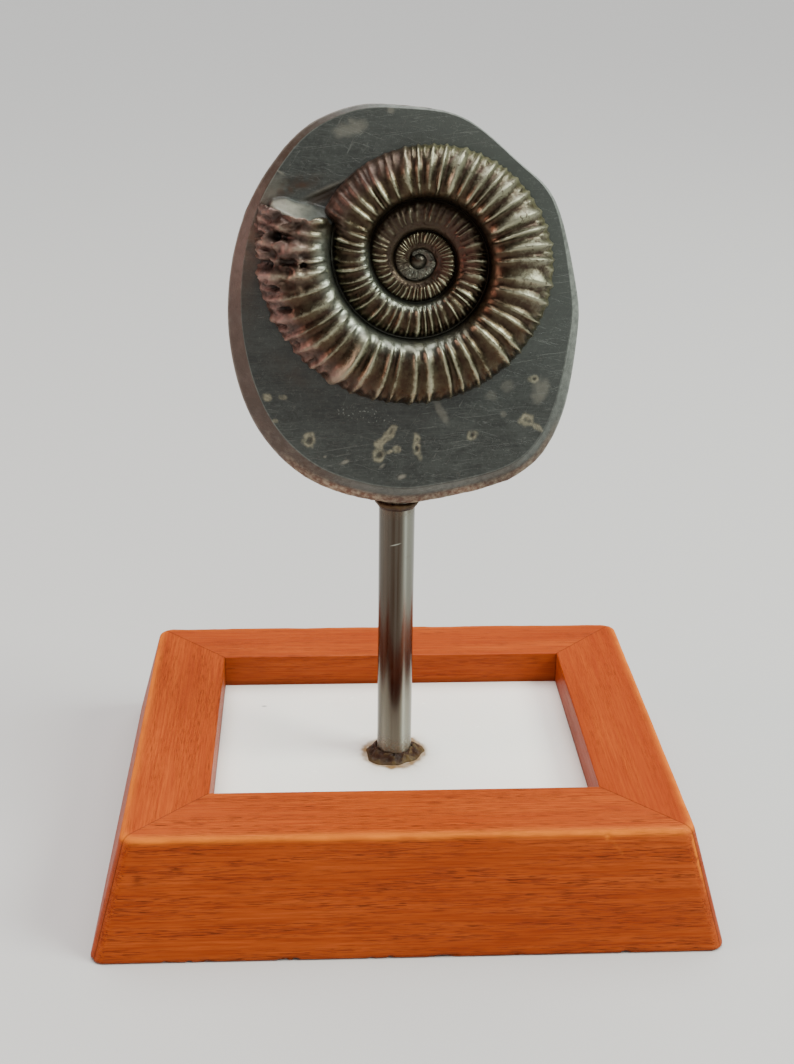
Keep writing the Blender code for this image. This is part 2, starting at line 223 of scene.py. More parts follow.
def make_mesh(name: str, points: Array, quads: Whole, triangles: Whole | None = None,
              numbers: Numbers | None = None, flip: bool = False) -> bpy.types.Object:
    """A smooth-shaded object from arrays.

    Args:
        name: the piece's name.
        points: positions of shape (..., 3).
        quads: faces of four points.
        triangles: faces of three points.
        numbers: numbers per point, by name; points past the last of them have 0.
        flip: turns every face over.

    Returns:
        The object, in the scene's collection.
    """
    points = points.reshape(-1, 3)
    triangles = np.zeros((0, 3), np.int64) if triangles is None else triangles
    if flip:
        quads, triangles = quads[:, ::-1], triangles[:, ::-1]
    loops = np.concatenate([quads.ravel(), triangles.ravel()])
    sizes = np.concatenate([np.full(len(quads), 4), np.full(len(triangles), 3)])
    mesh = bpy.data.meshes.new(name)
    mesh.vertices.add(len(points))
    mesh.vertices.foreach_set("co", points.astype(np.float32).ravel())
    mesh.loops.add(len(loops))
    mesh.loops.foreach_set("vertex_index", loops.astype(np.int32))
    mesh.polygons.add(len(sizes))
    mesh.polygons.foreach_set("loop_start", np.concatenate([[0], np.cumsum(sizes)[:-1]]).astype(np.int32))
    mesh.update(calc_edges=True)
    mesh.validate()
    for label, values in (numbers or {}).items():
        padded = np.zeros(len(points), np.float32)
        padded[:values.size] = values.ravel()
        mesh.attributes.new(label, "FLOAT", "POINT").data.foreach_set("value", padded)
    mesh.shade_smooth()
    made = bpy.data.objects.new(name, mesh)
    bpy.context.scene.collection.objects.link(made)
    return made


def hand_over(piece: bpy.types.Object, material: bpy.types.Material, node: str) -> bpy.types.Object:
    """Gives a piece its material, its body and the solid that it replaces.

    Args:
        piece: the piece's object.
        material: its finish.
        node: the solid's name.

    Returns:
        The same object.
    """
    piece.data.materials.append(material)
    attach(piece, ROOT)
    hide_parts(node)
    return piece


def corners_of(node: str) -> tuple[Array, Array]:
    """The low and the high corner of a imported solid."""
    low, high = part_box(node)
    return np.array(low), np.array(high)


def rod_line() -> tuple[Array, float]:
    """The middle of the rod and its radius."""
    low, high = corners_of("rod")
    return (low + high) / 2, (high[0] - low[0]) / 2


# Shader nodes

class Signal:
    """An output of a node that can be reckoned with: each sum adds a node to the same tree."""

    def __init__(self, graph: "Graph", socket: bpy.types.NodeSocket) -> None:
        """Keeps the output and its graph."""
        self.graph = graph
        self.socket = socket

    def __mul__(self, other: "Value") -> "Signal":
        """The product."""
        return self.graph.math("MULTIPLY", self, other)

    def __add__(self, other: "Value") -> "Signal":
        """The sum."""
        return self.graph.math("ADD", self, other)

    def __sub__(self, other: "Value") -> "Signal":
        """The difference."""
        return self.graph.math("SUBTRACT", self, other)

    def __rsub__(self, other: "Value") -> "Signal":
        """The difference, from a plain number."""
        return self.graph.math("SUBTRACT", other, self)

    def most(self, other: "Value") -> "Signal":
        """The larger of two numbers."""
        return self.graph.math("MAXIMUM", self, other)

    def span(self, low: float, high: float, to_low: float = 0.0, to_high: float = 1.0) -> "Signal":
        """The number carried from one range to another and held within it."""
        inputs = dict(enumerate((self, low, high, to_low, to_high)))
        return self.graph.node("ShaderNodeMapRange", inputs, clamp=True)


Value = Signal | float | Triple


class Graph:
    """Adds and joins the nodes of one shader tree."""

    def __init__(self, tree: bpy.types.NodeTree) -> None:
        """Keeps the tree that the nodes go into."""
        self.tree = tree

    def feed(self, socket: bpy.types.NodeSocket, value: Value) -> None:
        """Joins an output to a socket, or sets the socket's own value.

        Args:
            socket: an input.
            value: an output, a number, a vector or a colour.
        """
        if isinstance(value, Signal):
            self.tree.links.new(value.socket, socket)
        else:
            socket.default_value = (*value, 1.0) if socket.type == "RGBA" else value

    def node(self, kind: str, inputs: dict[str | int, Value], output: str | int = 0,
             **settings: object) -> Signal:
        """Adds a node.

        Args:
            kind: the node's type.
            inputs: what goes into it.
            output: which output is wanted.
            settings: its own properties, set before its inputs.

        Returns:
            The output.
        """
        made = self.tree.nodes.new(kind)
        for label, value in settings.items():
            setattr(made, label, value)
        for label, value in inputs.items():
            self.feed(made.inputs[label], value)
        return Signal(self, made.outputs[output])

    def math(self, operation: str, first: Value, second: Value = 0.0) -> Signal:
        """One sum of two numbers."""
        return self.node("ShaderNodeMath", {0: first, 1: second}, operation=operation)

    def place(self, rotation: Triple = (0.0, 0.0, 0.0), scale: Triple = (1.0, 1.0, 1.0),
              location: Triple = (0.0, 0.0, 0.0), vector: Signal | None = None) -> Signal:
        """Object coordinates, or another vector, through a Mapping node.

        Args:
            rotation: angles about X, Y and Z.
            scale: factors along X, Y and Z.
            location: what is added.
            vector: the other vector.

        Returns:
            The vector.
        """
        inputs = {"Location": location, "Rotation": rotation, "Scale": scale}
        source = vector or self.node("ShaderNodeTexCoord", {}, "Object")
        return self.node("ShaderNodeMapping", {"Vector": source, **inputs})

    def mask(self, name: str) -> Signal:
        """A number stored per point of the mesh."""
        return self.node("ShaderNodeAttribute", {}, "Fac", attribute_name=name)

    def noise(self, vector: Signal, scale: Value, detail: float, roughness: float = 0.55,
              distortion: float = 0.0) -> Signal:
        """Smooth noise from 0 to 1."""
        look = {"Scale": scale, "Detail": detail, "Roughness": roughness, "Distortion": distortion}
        return self.node("ShaderNodeTexNoise", {"Vector": vector, **look}, "Fac")

    def spot(self, at: Triple, half: Triple, turn: float = 0.0) -> Signal:
        """One mark: 1 in the middle of an ellipsoid, falling evenly to 0 at its surface.

        Args:
            at: its middle.
            half: its half sizes.
            turn: how far the pattern is turned about Y.

        Returns:
            The mark's mask.
        """
        cos, sin = np.cos(turn), np.sin(turn)
        middle = (at[0] * cos + at[2] * sin, at[1], at[2] * cos - at[0] * sin)
        vector = self.place(scale=tuple(1 / size for size in half),
                            location=tuple(-place / size for place, size in zip(middle, half)),
                            vector=self.place(rotation=(0.0, turn, 0.0)))
        return self.node("ShaderNodeTexGradient", {"Vector": vector}, "Fac", gradient_type="SPHERICAL")

    def mix(self, share: Value, first: Value, second: Value) -> Signal:
        """Two colours mixed by a share."""
        return self.node("ShaderNodeMix", {"Factor": share, 6: first, 7: second}, 2, data_type="RGBA")

    def bump(self, height: Signal, distance: float, strength: float) -> Signal:
        """A normal bent by a height."""
        inputs = {"Height": height, "Distance": distance, "Strength": strength}
        return self.node("ShaderNodeBump", inputs, "Normal")

    def group(self, tree: bpy.types.NodeTree, *values: Value) -> list[Signal]:
        """Places a shared group.

        Args:
            tree: the group.
            values: its inputs, in the group's order.

        Returns:
            Its outputs, in the group's order.
        """
        made = self.tree.nodes.new("ShaderNodeGroup")
        made.node_tree = tree
        for socket, value in zip(made.inputs, values):
            self.feed(socket, value)
        return [Signal(self, socket) for socket in made.outputs]


class Paint(Graph):
    """A material being made: colours laid over a base, and then the shader's other inputs."""

    def __init__(self, name: str, base: Triple) -> None:
        """Makes a material of one plain colour.

        Args:
            name: the material's name.
            base: the colour that lies under all others.
        """
        self.material = bpy.data.materials.new(name)
        self.material.use_nodes = True
        super().__init__(self.material.node_tree)
        self.base: Value = base

    def coat(self, share: Value, color: Value) -> None:
        """Lays a colour over the base by a share."""
        self.base = self.mix(share, self.base, color)

    def close(self, **inputs: Value) -> bpy.types.Material:
        """Joins the base and the other inputs to the shader.

        Args:
            inputs: values by the name of the shader's input, with _ for a space.

        Returns:
            The material.
        """
        shader = self.tree.nodes["Principled BSDF"]
        for label, value in {"Base Color": self.base, **inputs}.items():
            self.feed(shader.inputs[label.replace("_", " ")], value)
        return self.material


class Kind(Enum):
    """Socket kinds of a shader group."""

    NUMBER = "NodeSocketFloat"
    VECTOR = "NodeSocketVector"


def new_group(name: str, numbers: Sequence[str],
              fill: Callable[..., dict[str, Signal]]) -> bpy.types.NodeTree:
    """A shader group that takes a vector and some numbers and puts out numbers.

    Args:
        name: the group's name.
        numbers: names of its number inputs.
        fill: makes the nodes from the graph and the inputs, and returns the outputs by name.

    Returns:
        The group.
    """
    tree = bpy.data.node_groups.new(name, "ShaderNodeTree")
    graph = Graph(tree)
    kinds = {"Vector": Kind.VECTOR, **dict.fromkeys(numbers, Kind.NUMBER)}
    for label, kind in kinds.items():
        tree.interface.new_socket(name=label, in_out="INPUT", socket_type=kind.value)
    given = tree.nodes.new("NodeGroupInput")
    made = fill(graph, *(Signal(graph, given.outputs[label]) for label in kinds))
    for label in made:
        tree.interface.new_socket(name=label, in_out="OUTPUT", socket_type=Kind.NUMBER.value)
    out = tree.nodes.new("NodeGroupOutput")
    for label, signal in made.items():
        graph.feed(out.inputs[label], signal)
    return tree


def fill_mottle(graph: Graph, vector: Signal, scale: Signal) -> dict[str, Signal]:
    """Mottling at three sizes, for stone, crust, glue and dust."""
    return {"Cloud": graph.noise(vector, scale, 3.0, 0.6).span(0.3, 0.7),
            "Fine": graph.noise(vector, scale * 9.0, 5.0, 0.65),
            "Specks": graph.noise(vector, scale * 22.0, 2.0, 0.5).span(0.60, 0.70)}


def fill_scratches(graph: Graph, vector: Signal, scale: Signal, width: Signal) -> dict[str, Signal]:
    """Hair-thin scratches: the middle line of a noise drawn out one way, where a second noise allows it.

    Args:
        graph: the group's graph.
        vector: coordinates, drawn out along the scratches.
        scale: how fine they are.
        width: how wide they are.

    Returns:
        Their mask.
    """
    from_middle = graph.math("ABSOLUTE", graph.noise(vector, scale, 1.0, 0.4, 0.3) - 0.5)
    thin = graph.math("LESS_THAN", from_middle, width)
    return {"Mask": thin * graph.noise(vector, scale * 1.7, 2.0).span(0.5, 0.62)}


def fill_hardwood(graph: Graph, vector: Signal, amount: Signal) -> dict[str, Signal]:
    """Hardwood grain along the vector's x: slow streaks, fibres and short dark pores in clusters.

    Args:
        graph: the group's graph.
        vector: coordinates along the grain.
        amount: how dark the pores are.

    Returns:
        The streaks, the fibres and the pores.
    """
    streak_at, fibre_at, pore_at, cluster_at = (
        graph.place(scale=(along, across, across), vector=vector)
        for along, across in ((9.0, 130.0), (60.0, 2000.0), (260.0, 9500.0), (36.0, 400.0)))
    pores = graph.noise(pore_at, 1.0, 1.0, 0.4).span(0.54, 0.60)
    clusters = graph.noise(cluster_at, 1.0, 2.0, 0.5).span(0.34, 0.60, 0.2, 1.0)
    return {"Streaks": graph.noise(streak_at, 1.0, 3.0, 0.6, 0.6).span(0.3, 0.7),
            "Fibres": graph.noise(fibre_at, 1.0, 2.0, 0.6), "Pores": pores * clusters * amount}


class Library:
    """The shader groups that several finishes share, each made once."""

    def __init__(self) -> None:
        """Makes the groups."""
        self.mottle = new_group("mottle", ["Scale"], fill_mottle)
        self.scratches = new_group("scratches", ["Scale", "Width"], fill_scratches)
        self.hardwood = new_group("hardwood", ["Pore Amount"], fill_hardwood)


# Finishes

@dataclass(frozen=True)
class WoodFinish:
    """Varnished orange-brown hardwood, with dark pores and softly lighter arrises: real wear and a painted
    highlight.
    """

    face: Triple = (0.44, 0.084, 0.0110)
    deep: Triple = (0.25, 0.031, 0.0045)
    pore: Triple = (0.10, 0.016, 0.003)
    wear_and_sheen: Triple = (0.72, 0.19, 0.012)
    roughness: float = 0.42
    specular: float = 0.10

    def build(self, name: str, library: Library, turned: bool, tone: float) -> bpy.types.Material:
        """The material of one rail.

        Args:
            name: the material's name.
            library: shared groups.
            turned: True where the rail's grain runs along Y.
            tone: how far the rail goes to the deep colour.

        Returns:
            The material.
        """
        paint = Paint(name, self.face)
        along = paint.place(rotation=(0.0, 0.0, np.pi / 2 if turned else 0.0))
        streaks, fibres, pores = paint.group(library.hardwood, along, 0.85 - 1.4 * tone)
        arris = paint.mask("arris")
        paint.coat(streaks.span(0.0, 1.0, 0.55 + tone, tone), self.deep)
        paint.coat(fibres.span(0.35, 0.68, 0.0, 0.75), self.deep)
        paint.coat(pores, self.pore)
        # The arris share is pale wear and a painted highlight along the top arris, plus chips, a scratch and
        # a worn right corner.
        paint.coat(arris * 0.75, self.wear_and_sheen)
        # Dark marks: dirt on chips, mitres and spots on the front, and painted shade along the inner face
        # over the marble.
        paint.coat(paint.mask("dirt_and_shade"), self.pore)
        rough = fibres.span(0.2, 0.8, self.roughness - 0.05, self.roughness + 0.1) + arris * 0.40
        return paint.close(Roughness=rough, Specular_IOR_Level=self.specular,
                           Normal=paint.bump(fibres * 0.35 - pores, 0.00008, 0.5))


@dataclass(frozen=True)
class MarbleFinish:
    """Polished warm white marble with faint clouds, one dark speck and a brown stain round the glue."""

    white: Triple = (0.95, 0.91, 0.84)
    cloud: Triple = (0.90, 0.865, 0.80)
    stain: Triple = (0.24, 0.14, 0.055)
    speck: Triple = (0.16, 0.14, 0.12)
    speck_at: Triple = (-32.3 * MM, 21.0 * MM, 0.0)
    speck_half: Triple = (0.9 * MM, 0.5 * MM, np.inf)

    def build(self, name: str, library: Library) -> bpy.types.Material:
        """The marble's material.

        Args:
            name: the material's name.
            library: shared groups.

        Returns:
            The material.
        """
        paint = Paint(name, self.white)
        cloud, fine, _ = paint.group(library.mottle, paint.place(), 28.0)
        veins = paint.noise(paint.place(scale=(1.0, 1.6, 1.0)), 40.0, 6.0, 0.6, 1.4)
        paint.coat(cloud * 0.5, self.cloud)
        paint.coat(veins.span(0.60, 0.72, 0.0, 0.25), self.cloud)
        paint.coat(paint.mask("stain") * fine.span(0.2, 0.7, 0.6, 1.1), self.stain)
        paint.coat(paint.spot(self.speck_at, self.speck_half).span(0.0, 0.7, 0.0, 0.7), self.speck)
        return paint.close(Roughness=fine.span(0.2, 0.8, 0.16, 0.30), Normal=paint.bump(fine, 0.00003, 0.3),
                           Subsurface_Weight=0.08, Subsurface_Radius=(0.004, 0.003, 0.002))


@dataclass(frozen=True)
class SteelFinish:
    """Polished steel rod: faint drawn lines, small scratches, grime at both ends, painted reflections and one
    highlight.
    """

    steel: Triple = (0.20, 0.20, 0.17)
    painted_dark_reflection: Triple = (0.042, 0.024, 0.015)
    grime: Triple = (0.12, 0.075, 0.04)
    # Colour of the painted highlight line and of a real scratch.
    bright: Triple = (0.50, 0.53, 0.46)
    scratch_at: Triple = (-1.4 * MM, -6.4 * MM, 72.8 * MM)
    scratch_half: Triple = (1.5 * MM, 4.0 * MM, 0.16 * MM)
    scratch_turn: float = np.radians(17)

    def build(self, name: str, library: Library) -> bpy.types.Material:
        """The rod's material.

        Args:
            name: the material's name.
            library: shared groups.

        Returns:
            The material.
        """
        paint = Paint(name, self.steel)
        drawn = paint.noise(paint.place(scale=(1200.0, 1200.0, 14.0)), 1.0, 3.0, 0.6)
        _, fine, _ = paint.group(library.mottle, paint.place(), 160.0)
        marks, = paint.group(library.scratches, paint.place(scale=(1.0, 1.0, 0.55)), 150.0, 0.004)
        grime = paint.mask("grime") * fine.span(0.35, 0.6)
        scratch = paint.spot(self.scratch_at, self.scratch_half, self.scratch_turn)
        # Painted dark reflection bands, darker higher up.
        paint.coat(paint.mask("painted_dark_reflection") * drawn.span(0.25, 0.7, 1.0, 0.7), self.painted_dark_reflection)
        # Painted highlight: one bright line down the front right of the rod.
        paint.coat(paint.mask("painted_light"), self.bright)
        paint.coat(scratch.span(0.0, 0.5, 0.0, 0.55), self.bright)
        paint.coat(grime, self.grime)
        return paint.close(Metallic=grime.span(0.0, 1.0, 1.0, 0.2),
                           Roughness=drawn.span(0.3, 0.7, 0.17, 0.27) + grime * 0.35,
                           Normal=paint.bump(drawn * 0.3 - marks, 0.00002, 0.5))


@dataclass(frozen=True)
class GlueFinish:
    """Hardened glue, from nearly black to amber, half dull."""

    dark: Triple = (0.012, 0.005, 0.003)
    umber: Triple = (0.050, 0.020, 0.009)
    amber: Triple = (0.12, 0.080, 0.030)
    roughness: float = 0.42
    specular: float = 0.16

    def build(self, name: str, library: Library) -> bpy.types.Material:
        """The glue's material.

        Args:
            name: the material's name.
            library: shared groups.

        Returns:
            The material.
        """
        paint = Paint(name, self.dark)
        cloud, fine, _ = paint.group(library.mottle, paint.place(), 330.0)
        paint.coat(cloud, self.umber)
        # Amber where the glue is thin, and a painted glow on the side towards the key light.
        paint.coat(paint.mask("thin") * 0.8, self.amber)
        return paint.close(Roughness=fine.span(0.3, 0.7, self.roughness - 0.1, self.roughness + 0.25),
                           Specular_IOR_Level=self.specular, Normal=paint.bump(fine, 0.0002, 0.5))


@dataclass(frozen=True)
class StoneFinish:
    """Dark slate-grey stone, ground with fine curved scratches, its rim rough and rust-brown.

    Each of the strokes has its turn about Y, its stretch along X, its scale and its width.
    """

    face: Triple = (0.0135, 0.0150, 0.0130)
    light: Triple = (0.056, 0.064, 0.056)
    edge: Triple = (0.20, 0.215, 0.19)
    rust: Triple = (0.13, 0.060, 0.034)
    crumb: Triple = (0.34, 0.275, 0.19)
    pale: Triple = (0.28, 0.265, 0.21)
    burrow: Triple = (0.27, 0.25, 0.165)
    stain: Triple = (0.043, 0.026, 0.016)
    pit: Triple = (0.012, 0.011, 0.009)
    specular: float = 0.35
    rough: float = 0.72
    strokes: tuple[tuple[float, ...], ...] = ((0.14, 0.03, 1300.0, 0.008), (-0.30, 0.04, 1500.0, 0.006),
                                              (1.05, 0.05, 900.0, 0.005))

    def scratches(self, paint: Paint, library: Library) -> Signal:
        """The strokes' scratches.

        Args:
            paint: the material being made.
            library: shared groups.

        Returns:
            Their mask.
        """
        masks = []
        for turn, stretch, scale, width in self.strokes:
            drawn = paint.place(scale=(stretch, 1.0, 1.0), vector=paint.place(rotation=(0.0, turn, 0.0)))
            masks += paint.group(library.scratches, drawn, scale, width)
        return reduce(Signal.most, masks)

    def build(self, name: str, library: Library) -> bpy.types.Material:
        """The slab's material.

        Args:
            name: the material's name.
            library: shared groups.

        Returns:
            The material.
        """
        paint = Paint(name, self.face)
        cloud, fine, specks = paint.group(library.mottle, paint.place(), 90.0)
        marks = self.scratches(paint, library)
        brushed_at = paint.place(rotation=(0.0, 0.12, 0.0), scale=(130.0, 2600.0, 2600.0))
        brushed = paint.noise(brushed_at, 1.0, 3.0, 0.6, 0.4)
        sweep = paint.noise(paint.place(scale=(1.0, 1.0, 2.2)), 55.0, 5.0, 0.62, 1.6)
        swirl = paint.noise(paint.place(scale=(1.0, 1.0, 1.6)), 330.0, 3.0, 0.6, 2.4)
        ground = paint.mask("ground")
        for share in (cloud * 0.22, sweep.span(0.42, 0.72, 0.0, 0.55), swirl.span(0.45, 0.72, 0.0, 0.5),
                      paint.mask("side_light") * 0.7, fine.span(0.45, 0.75, 0.0, 0.25),
                      brushed.span(0.45, 0.75, 0.0, 0.5) * ground):
            paint.coat(share, self.light)
        for share in (marks * 0.24, specks * paint.mask("speckle"),
                      # Pale wear on the bevel, with painted sheen and painted highlight lines along its
                      # edges.
                      paint.mask("wear_and_sheen") * fine.span(0.3, 0.6, 0.3, 1.0)):
            paint.coat(share, self.edge)
        rusty = paint.mix(paint.mask("crumbs") * fine.span(0.42, 0.62), self.rust, self.crumb)
        paint.coat(paint.mask("rust") * cloud.span(0.1, 0.7, 0.5, 1.0), rusty)
        paint.coat(paint.mask("stain"), self.stain)
        paint.coat(paint.mask("halo") * fine.span(0.35, 0.6, 0.25, 1.0), self.burrow)
        paint.coat(paint.mask("pale") * fine.span(0.25, 0.6, 0.7, 1.0), self.pale)
        paint.coat(paint.mask("pit"), self.pit)
        smooth = fine.span(0.3, 0.7, 0.32, 0.46)
        rough = paint.node("ShaderNodeMix", {0: ground, 2: self.rough, 3: smooth}, data_type="FLOAT")
        height = fine * ground.span(0.0, 1.0, 1.0, 0.16) - marks * 0.12
        return paint.close(Roughness=rough, Specular_IOR_Level=self.specular,
                           Normal=paint.bump(height, 0.0005, 0.6))


@dataclass(frozen=True)
class ShellFinish:
    """Bronze-coloured mineral: brass crests as painted highlight, dark brown troughs as painted shade, rusty
    crust by the mouth.
    """

    # The crest and flank colours over the trough colour paint a highlight on the ribs and shade between them.
    crest: Triple = (0.31, 0.302, 0.205)
    bright: Triple = (0.23, 0.226, 0.156)
    flank: Triple = (0.066, 0.050, 0.029)
    trough: Triple = (0.036, 0.021, 0.013)
    copper_and_painted_red_light: Triple = (0.088, 0.032, 0.025)
    crust: Triple = (0.230, 0.130, 0.108)
    soil: Triple = (0.038, 0.020, 0.014)
    olive: Triple = (0.27, 0.265, 0.115)
    silver: Triple = (0.23, 0.25, 0.205)
    # Near black, for the painted shade in the seams and pits.
    dark: Triple = (0.006, 0.005, 0.004)
    metallic: float = 0.95

    def build(self, name: str, library: Library) -> bpy.types.Material:
        """The shell's material.

        Args:
            name: the material's name.
            library: shared groups.

        Returns:
            The material.
        """
        paint = Paint(name, self.trough)
        cloud, fine, _ = paint.group(library.mottle, paint.place(), 190.0)
        curl = paint.noise(paint.place(), 900.0, 1.0, 0.5, 2.2)
        curls, = paint.group(library.scratches, paint.place(), 620.0, 0.05)
        bright = paint.mask("bright")
        patchy = cloud.span(0.1, 0.7, 0.55, 1.0)
        crust = paint.mask("crust") * patchy
        dull = paint.mask("dull") * fine.span(0.35, 0.6, 0.2, 0.85)
        relief = paint.mask("relief") + fine.span(0.3, 0.7, -0.12, 0.12)
        rusty = paint.mix((relief + fine.span(0.3, 0.7, 0.25, -0.25)).span(0.15, 0.7), self.soil, self.crust)
        for share, color in (
                # Painted light: brass on the crests is a painted highlight, flank and trough colours are
                # painted shade.
                (relief.span(0.05, 0.45), self.flank), (relief.span(0.55, 0.98), self.crest),
                # Painted highlight on the ribs of the side that faces the key light, and along the inner
                # shoulder.
                (bright * relief.span(0.15, 0.75) * curl.span(0.35, 0.55, 0.45, 1.0), self.bright),
                # Partly the shell's coppery tint, partly painted red light from the fill.
                (paint.mask("copper_and_painted_red_light") * cloud.span(0.0, 1.0, 0.45, 1.0), self.copper_and_painted_red_light),
                # Silvery wall colour, with a painted highlight where the wall faces the key light.
                (paint.mask("silver") * patchy, self.silver),
                (paint.mask("olive") * fine.span(0.35, 0.6, 0.3, 1.0), self.olive),
                (curls * (bright * 0.75), self.trough), (crust * 0.85, rusty), (dull, self.trough),
                # Painted shade: near black in the seams between whorls and in the crust's pits.
                (paint.mask("seam") * 0.6, self.dark), (paint.mask("hole") * 0.8, self.dark)):
            paint.coat(share, color)
        satin = (crust * 0.70).most(dull * 0.5).most(bright * 0.2)
        return paint.close(Metallic=self.metallic - satin,
                           Roughness=fine.span(0.3, 0.7, 0.25, 0.40) + satin * 0.3,
                           Normal=paint.bump(fine + curl * (bright * 0.8), 0.00014, 0.5))


# Pieces

OUTLINE_KNOTS = (
    (9.0, 29.1), (-3.5, 31.3), (-14.3, 31.0), (-25.9, 24.8), (-36.6, 8.5), (-40.2, -12.8),
    (-35.8, -33.2), (-24.4, -46.6), (-8.0, -52.2), (5.5, -51.4), (22.9, -45.8), (31.1, -34.0),
    (34.1, -14.9), (33.4, -5.4), (28.4, 12.5), (20.7, 20.0),
)


def slab_outline(count: int) -> Array:
    """The slab's outline from the middle of the coil: points of shape (count, 2)."""
    return closed_curve(OUTLINE_KNOTS, count) * MM


@dataclass
class SlabPlace:
    """Where the slab's own frame lies in the world."""

    lean: float = np.radians(8.0)
    rod_y: float = -2.4 * MM
    underside: float = 82.4 * MM
    rod_depth: float = 8.0 * MM
    outline_points: int = 72

    def to_world(self, local: Array) -> Array:
        """Slab points carried into the world.

        The slab's x is the world's x; its y goes up and back by the lean, its z out to the front and up.
        The outline says where the slab's middle and its underside are.

        Args:
            local: points of shape (..., 3) in the slab's frame.

        Returns:
            World points of the same shape.
        """
        outline = slab_outline(self.outline_points)
        low, high = outline.min(axis=0), outline.max(axis=0)
        up = np.array([0.0, np.sin(self.lean), np.cos(self.lean)])
        out = np.array([0.0, -np.cos(self.lean), np.sin(self.lean)])
        origin = np.array([-(low[0] + high[0]) / 2, self.rod_y, self.underside])
        origin = origin - low[1] * up + self.rod_depth * out
        return origin + local @ np.array([[1.0, 0.0, 0.0], up, out])


@dataclass
class Coil:
    """The spiral that the shell follows. Angles are in degrees, from the left, downwards and inwards."""

    mouth: float = -22.0
    cover_start: float = 332.0
    cover_end: float = 338.0
    free: Knots = ((-22, 34.9), (0, 33.9), (45, 31.7), (90, 29.95), (135, 28.8), (180, 28.1), (225, 25.9),
                   (270, 23.5), (315, 22.4), (338, 22.2))
    seam: Knots = ((332, 19.3), (360, 18.14), (405, 16.75), (450, 15.9), (540, 14.4), (630, 12.65),
                   (690, 11.2), (720, 10.2), (765, 9.1), (810, 8.5), (900, 7.8), (990, 6.3), (1080, 5.3),
                   (1170, 4.0), (1260, 3.3), (1350, 2.5), (1440, 2.0), (1580, 1.5))
    crest: Knots = ((-22, 7.6), (180, 6.6), (338, 5.0), (540, 3.5), (720, 2.6), (900, 2.0), (1080, 1.5),
                    (1300, 1.1))
    seam_height: Knots = ((338, 1.0), (450, 1.3), (720, 0.9), (1080, 0.6), (1580, 0.5))

    def covered(self, angle: Array) -> Array:
        """Share by which the whorl outside hides this whorl's flank."""
        return ramp(self.cover_start, self.cover_end, angle)

    def outer(self, angle: Array) -> Array:
        """Radius of a whorl's outer edge: free on the face, or the seam where it is covered."""
        share = self.covered(angle)
        return ((1 - share) * smooth_value(self.free, angle) + share * smooth_value(self.seam, angle)) * MM

    def inner(self, angle: Array) -> Array:
        """Radius of a whorl's inner edge, which is the seam one turn further in."""
        return smooth_value(self.seam, angle + 360) * MM

    def edge_height(self, angle: Array) -> Array:
        """Height of a whorl's outer edge over the face."""
        return self.covered(angle) * smooth_value(self.seam_height, angle) * MM


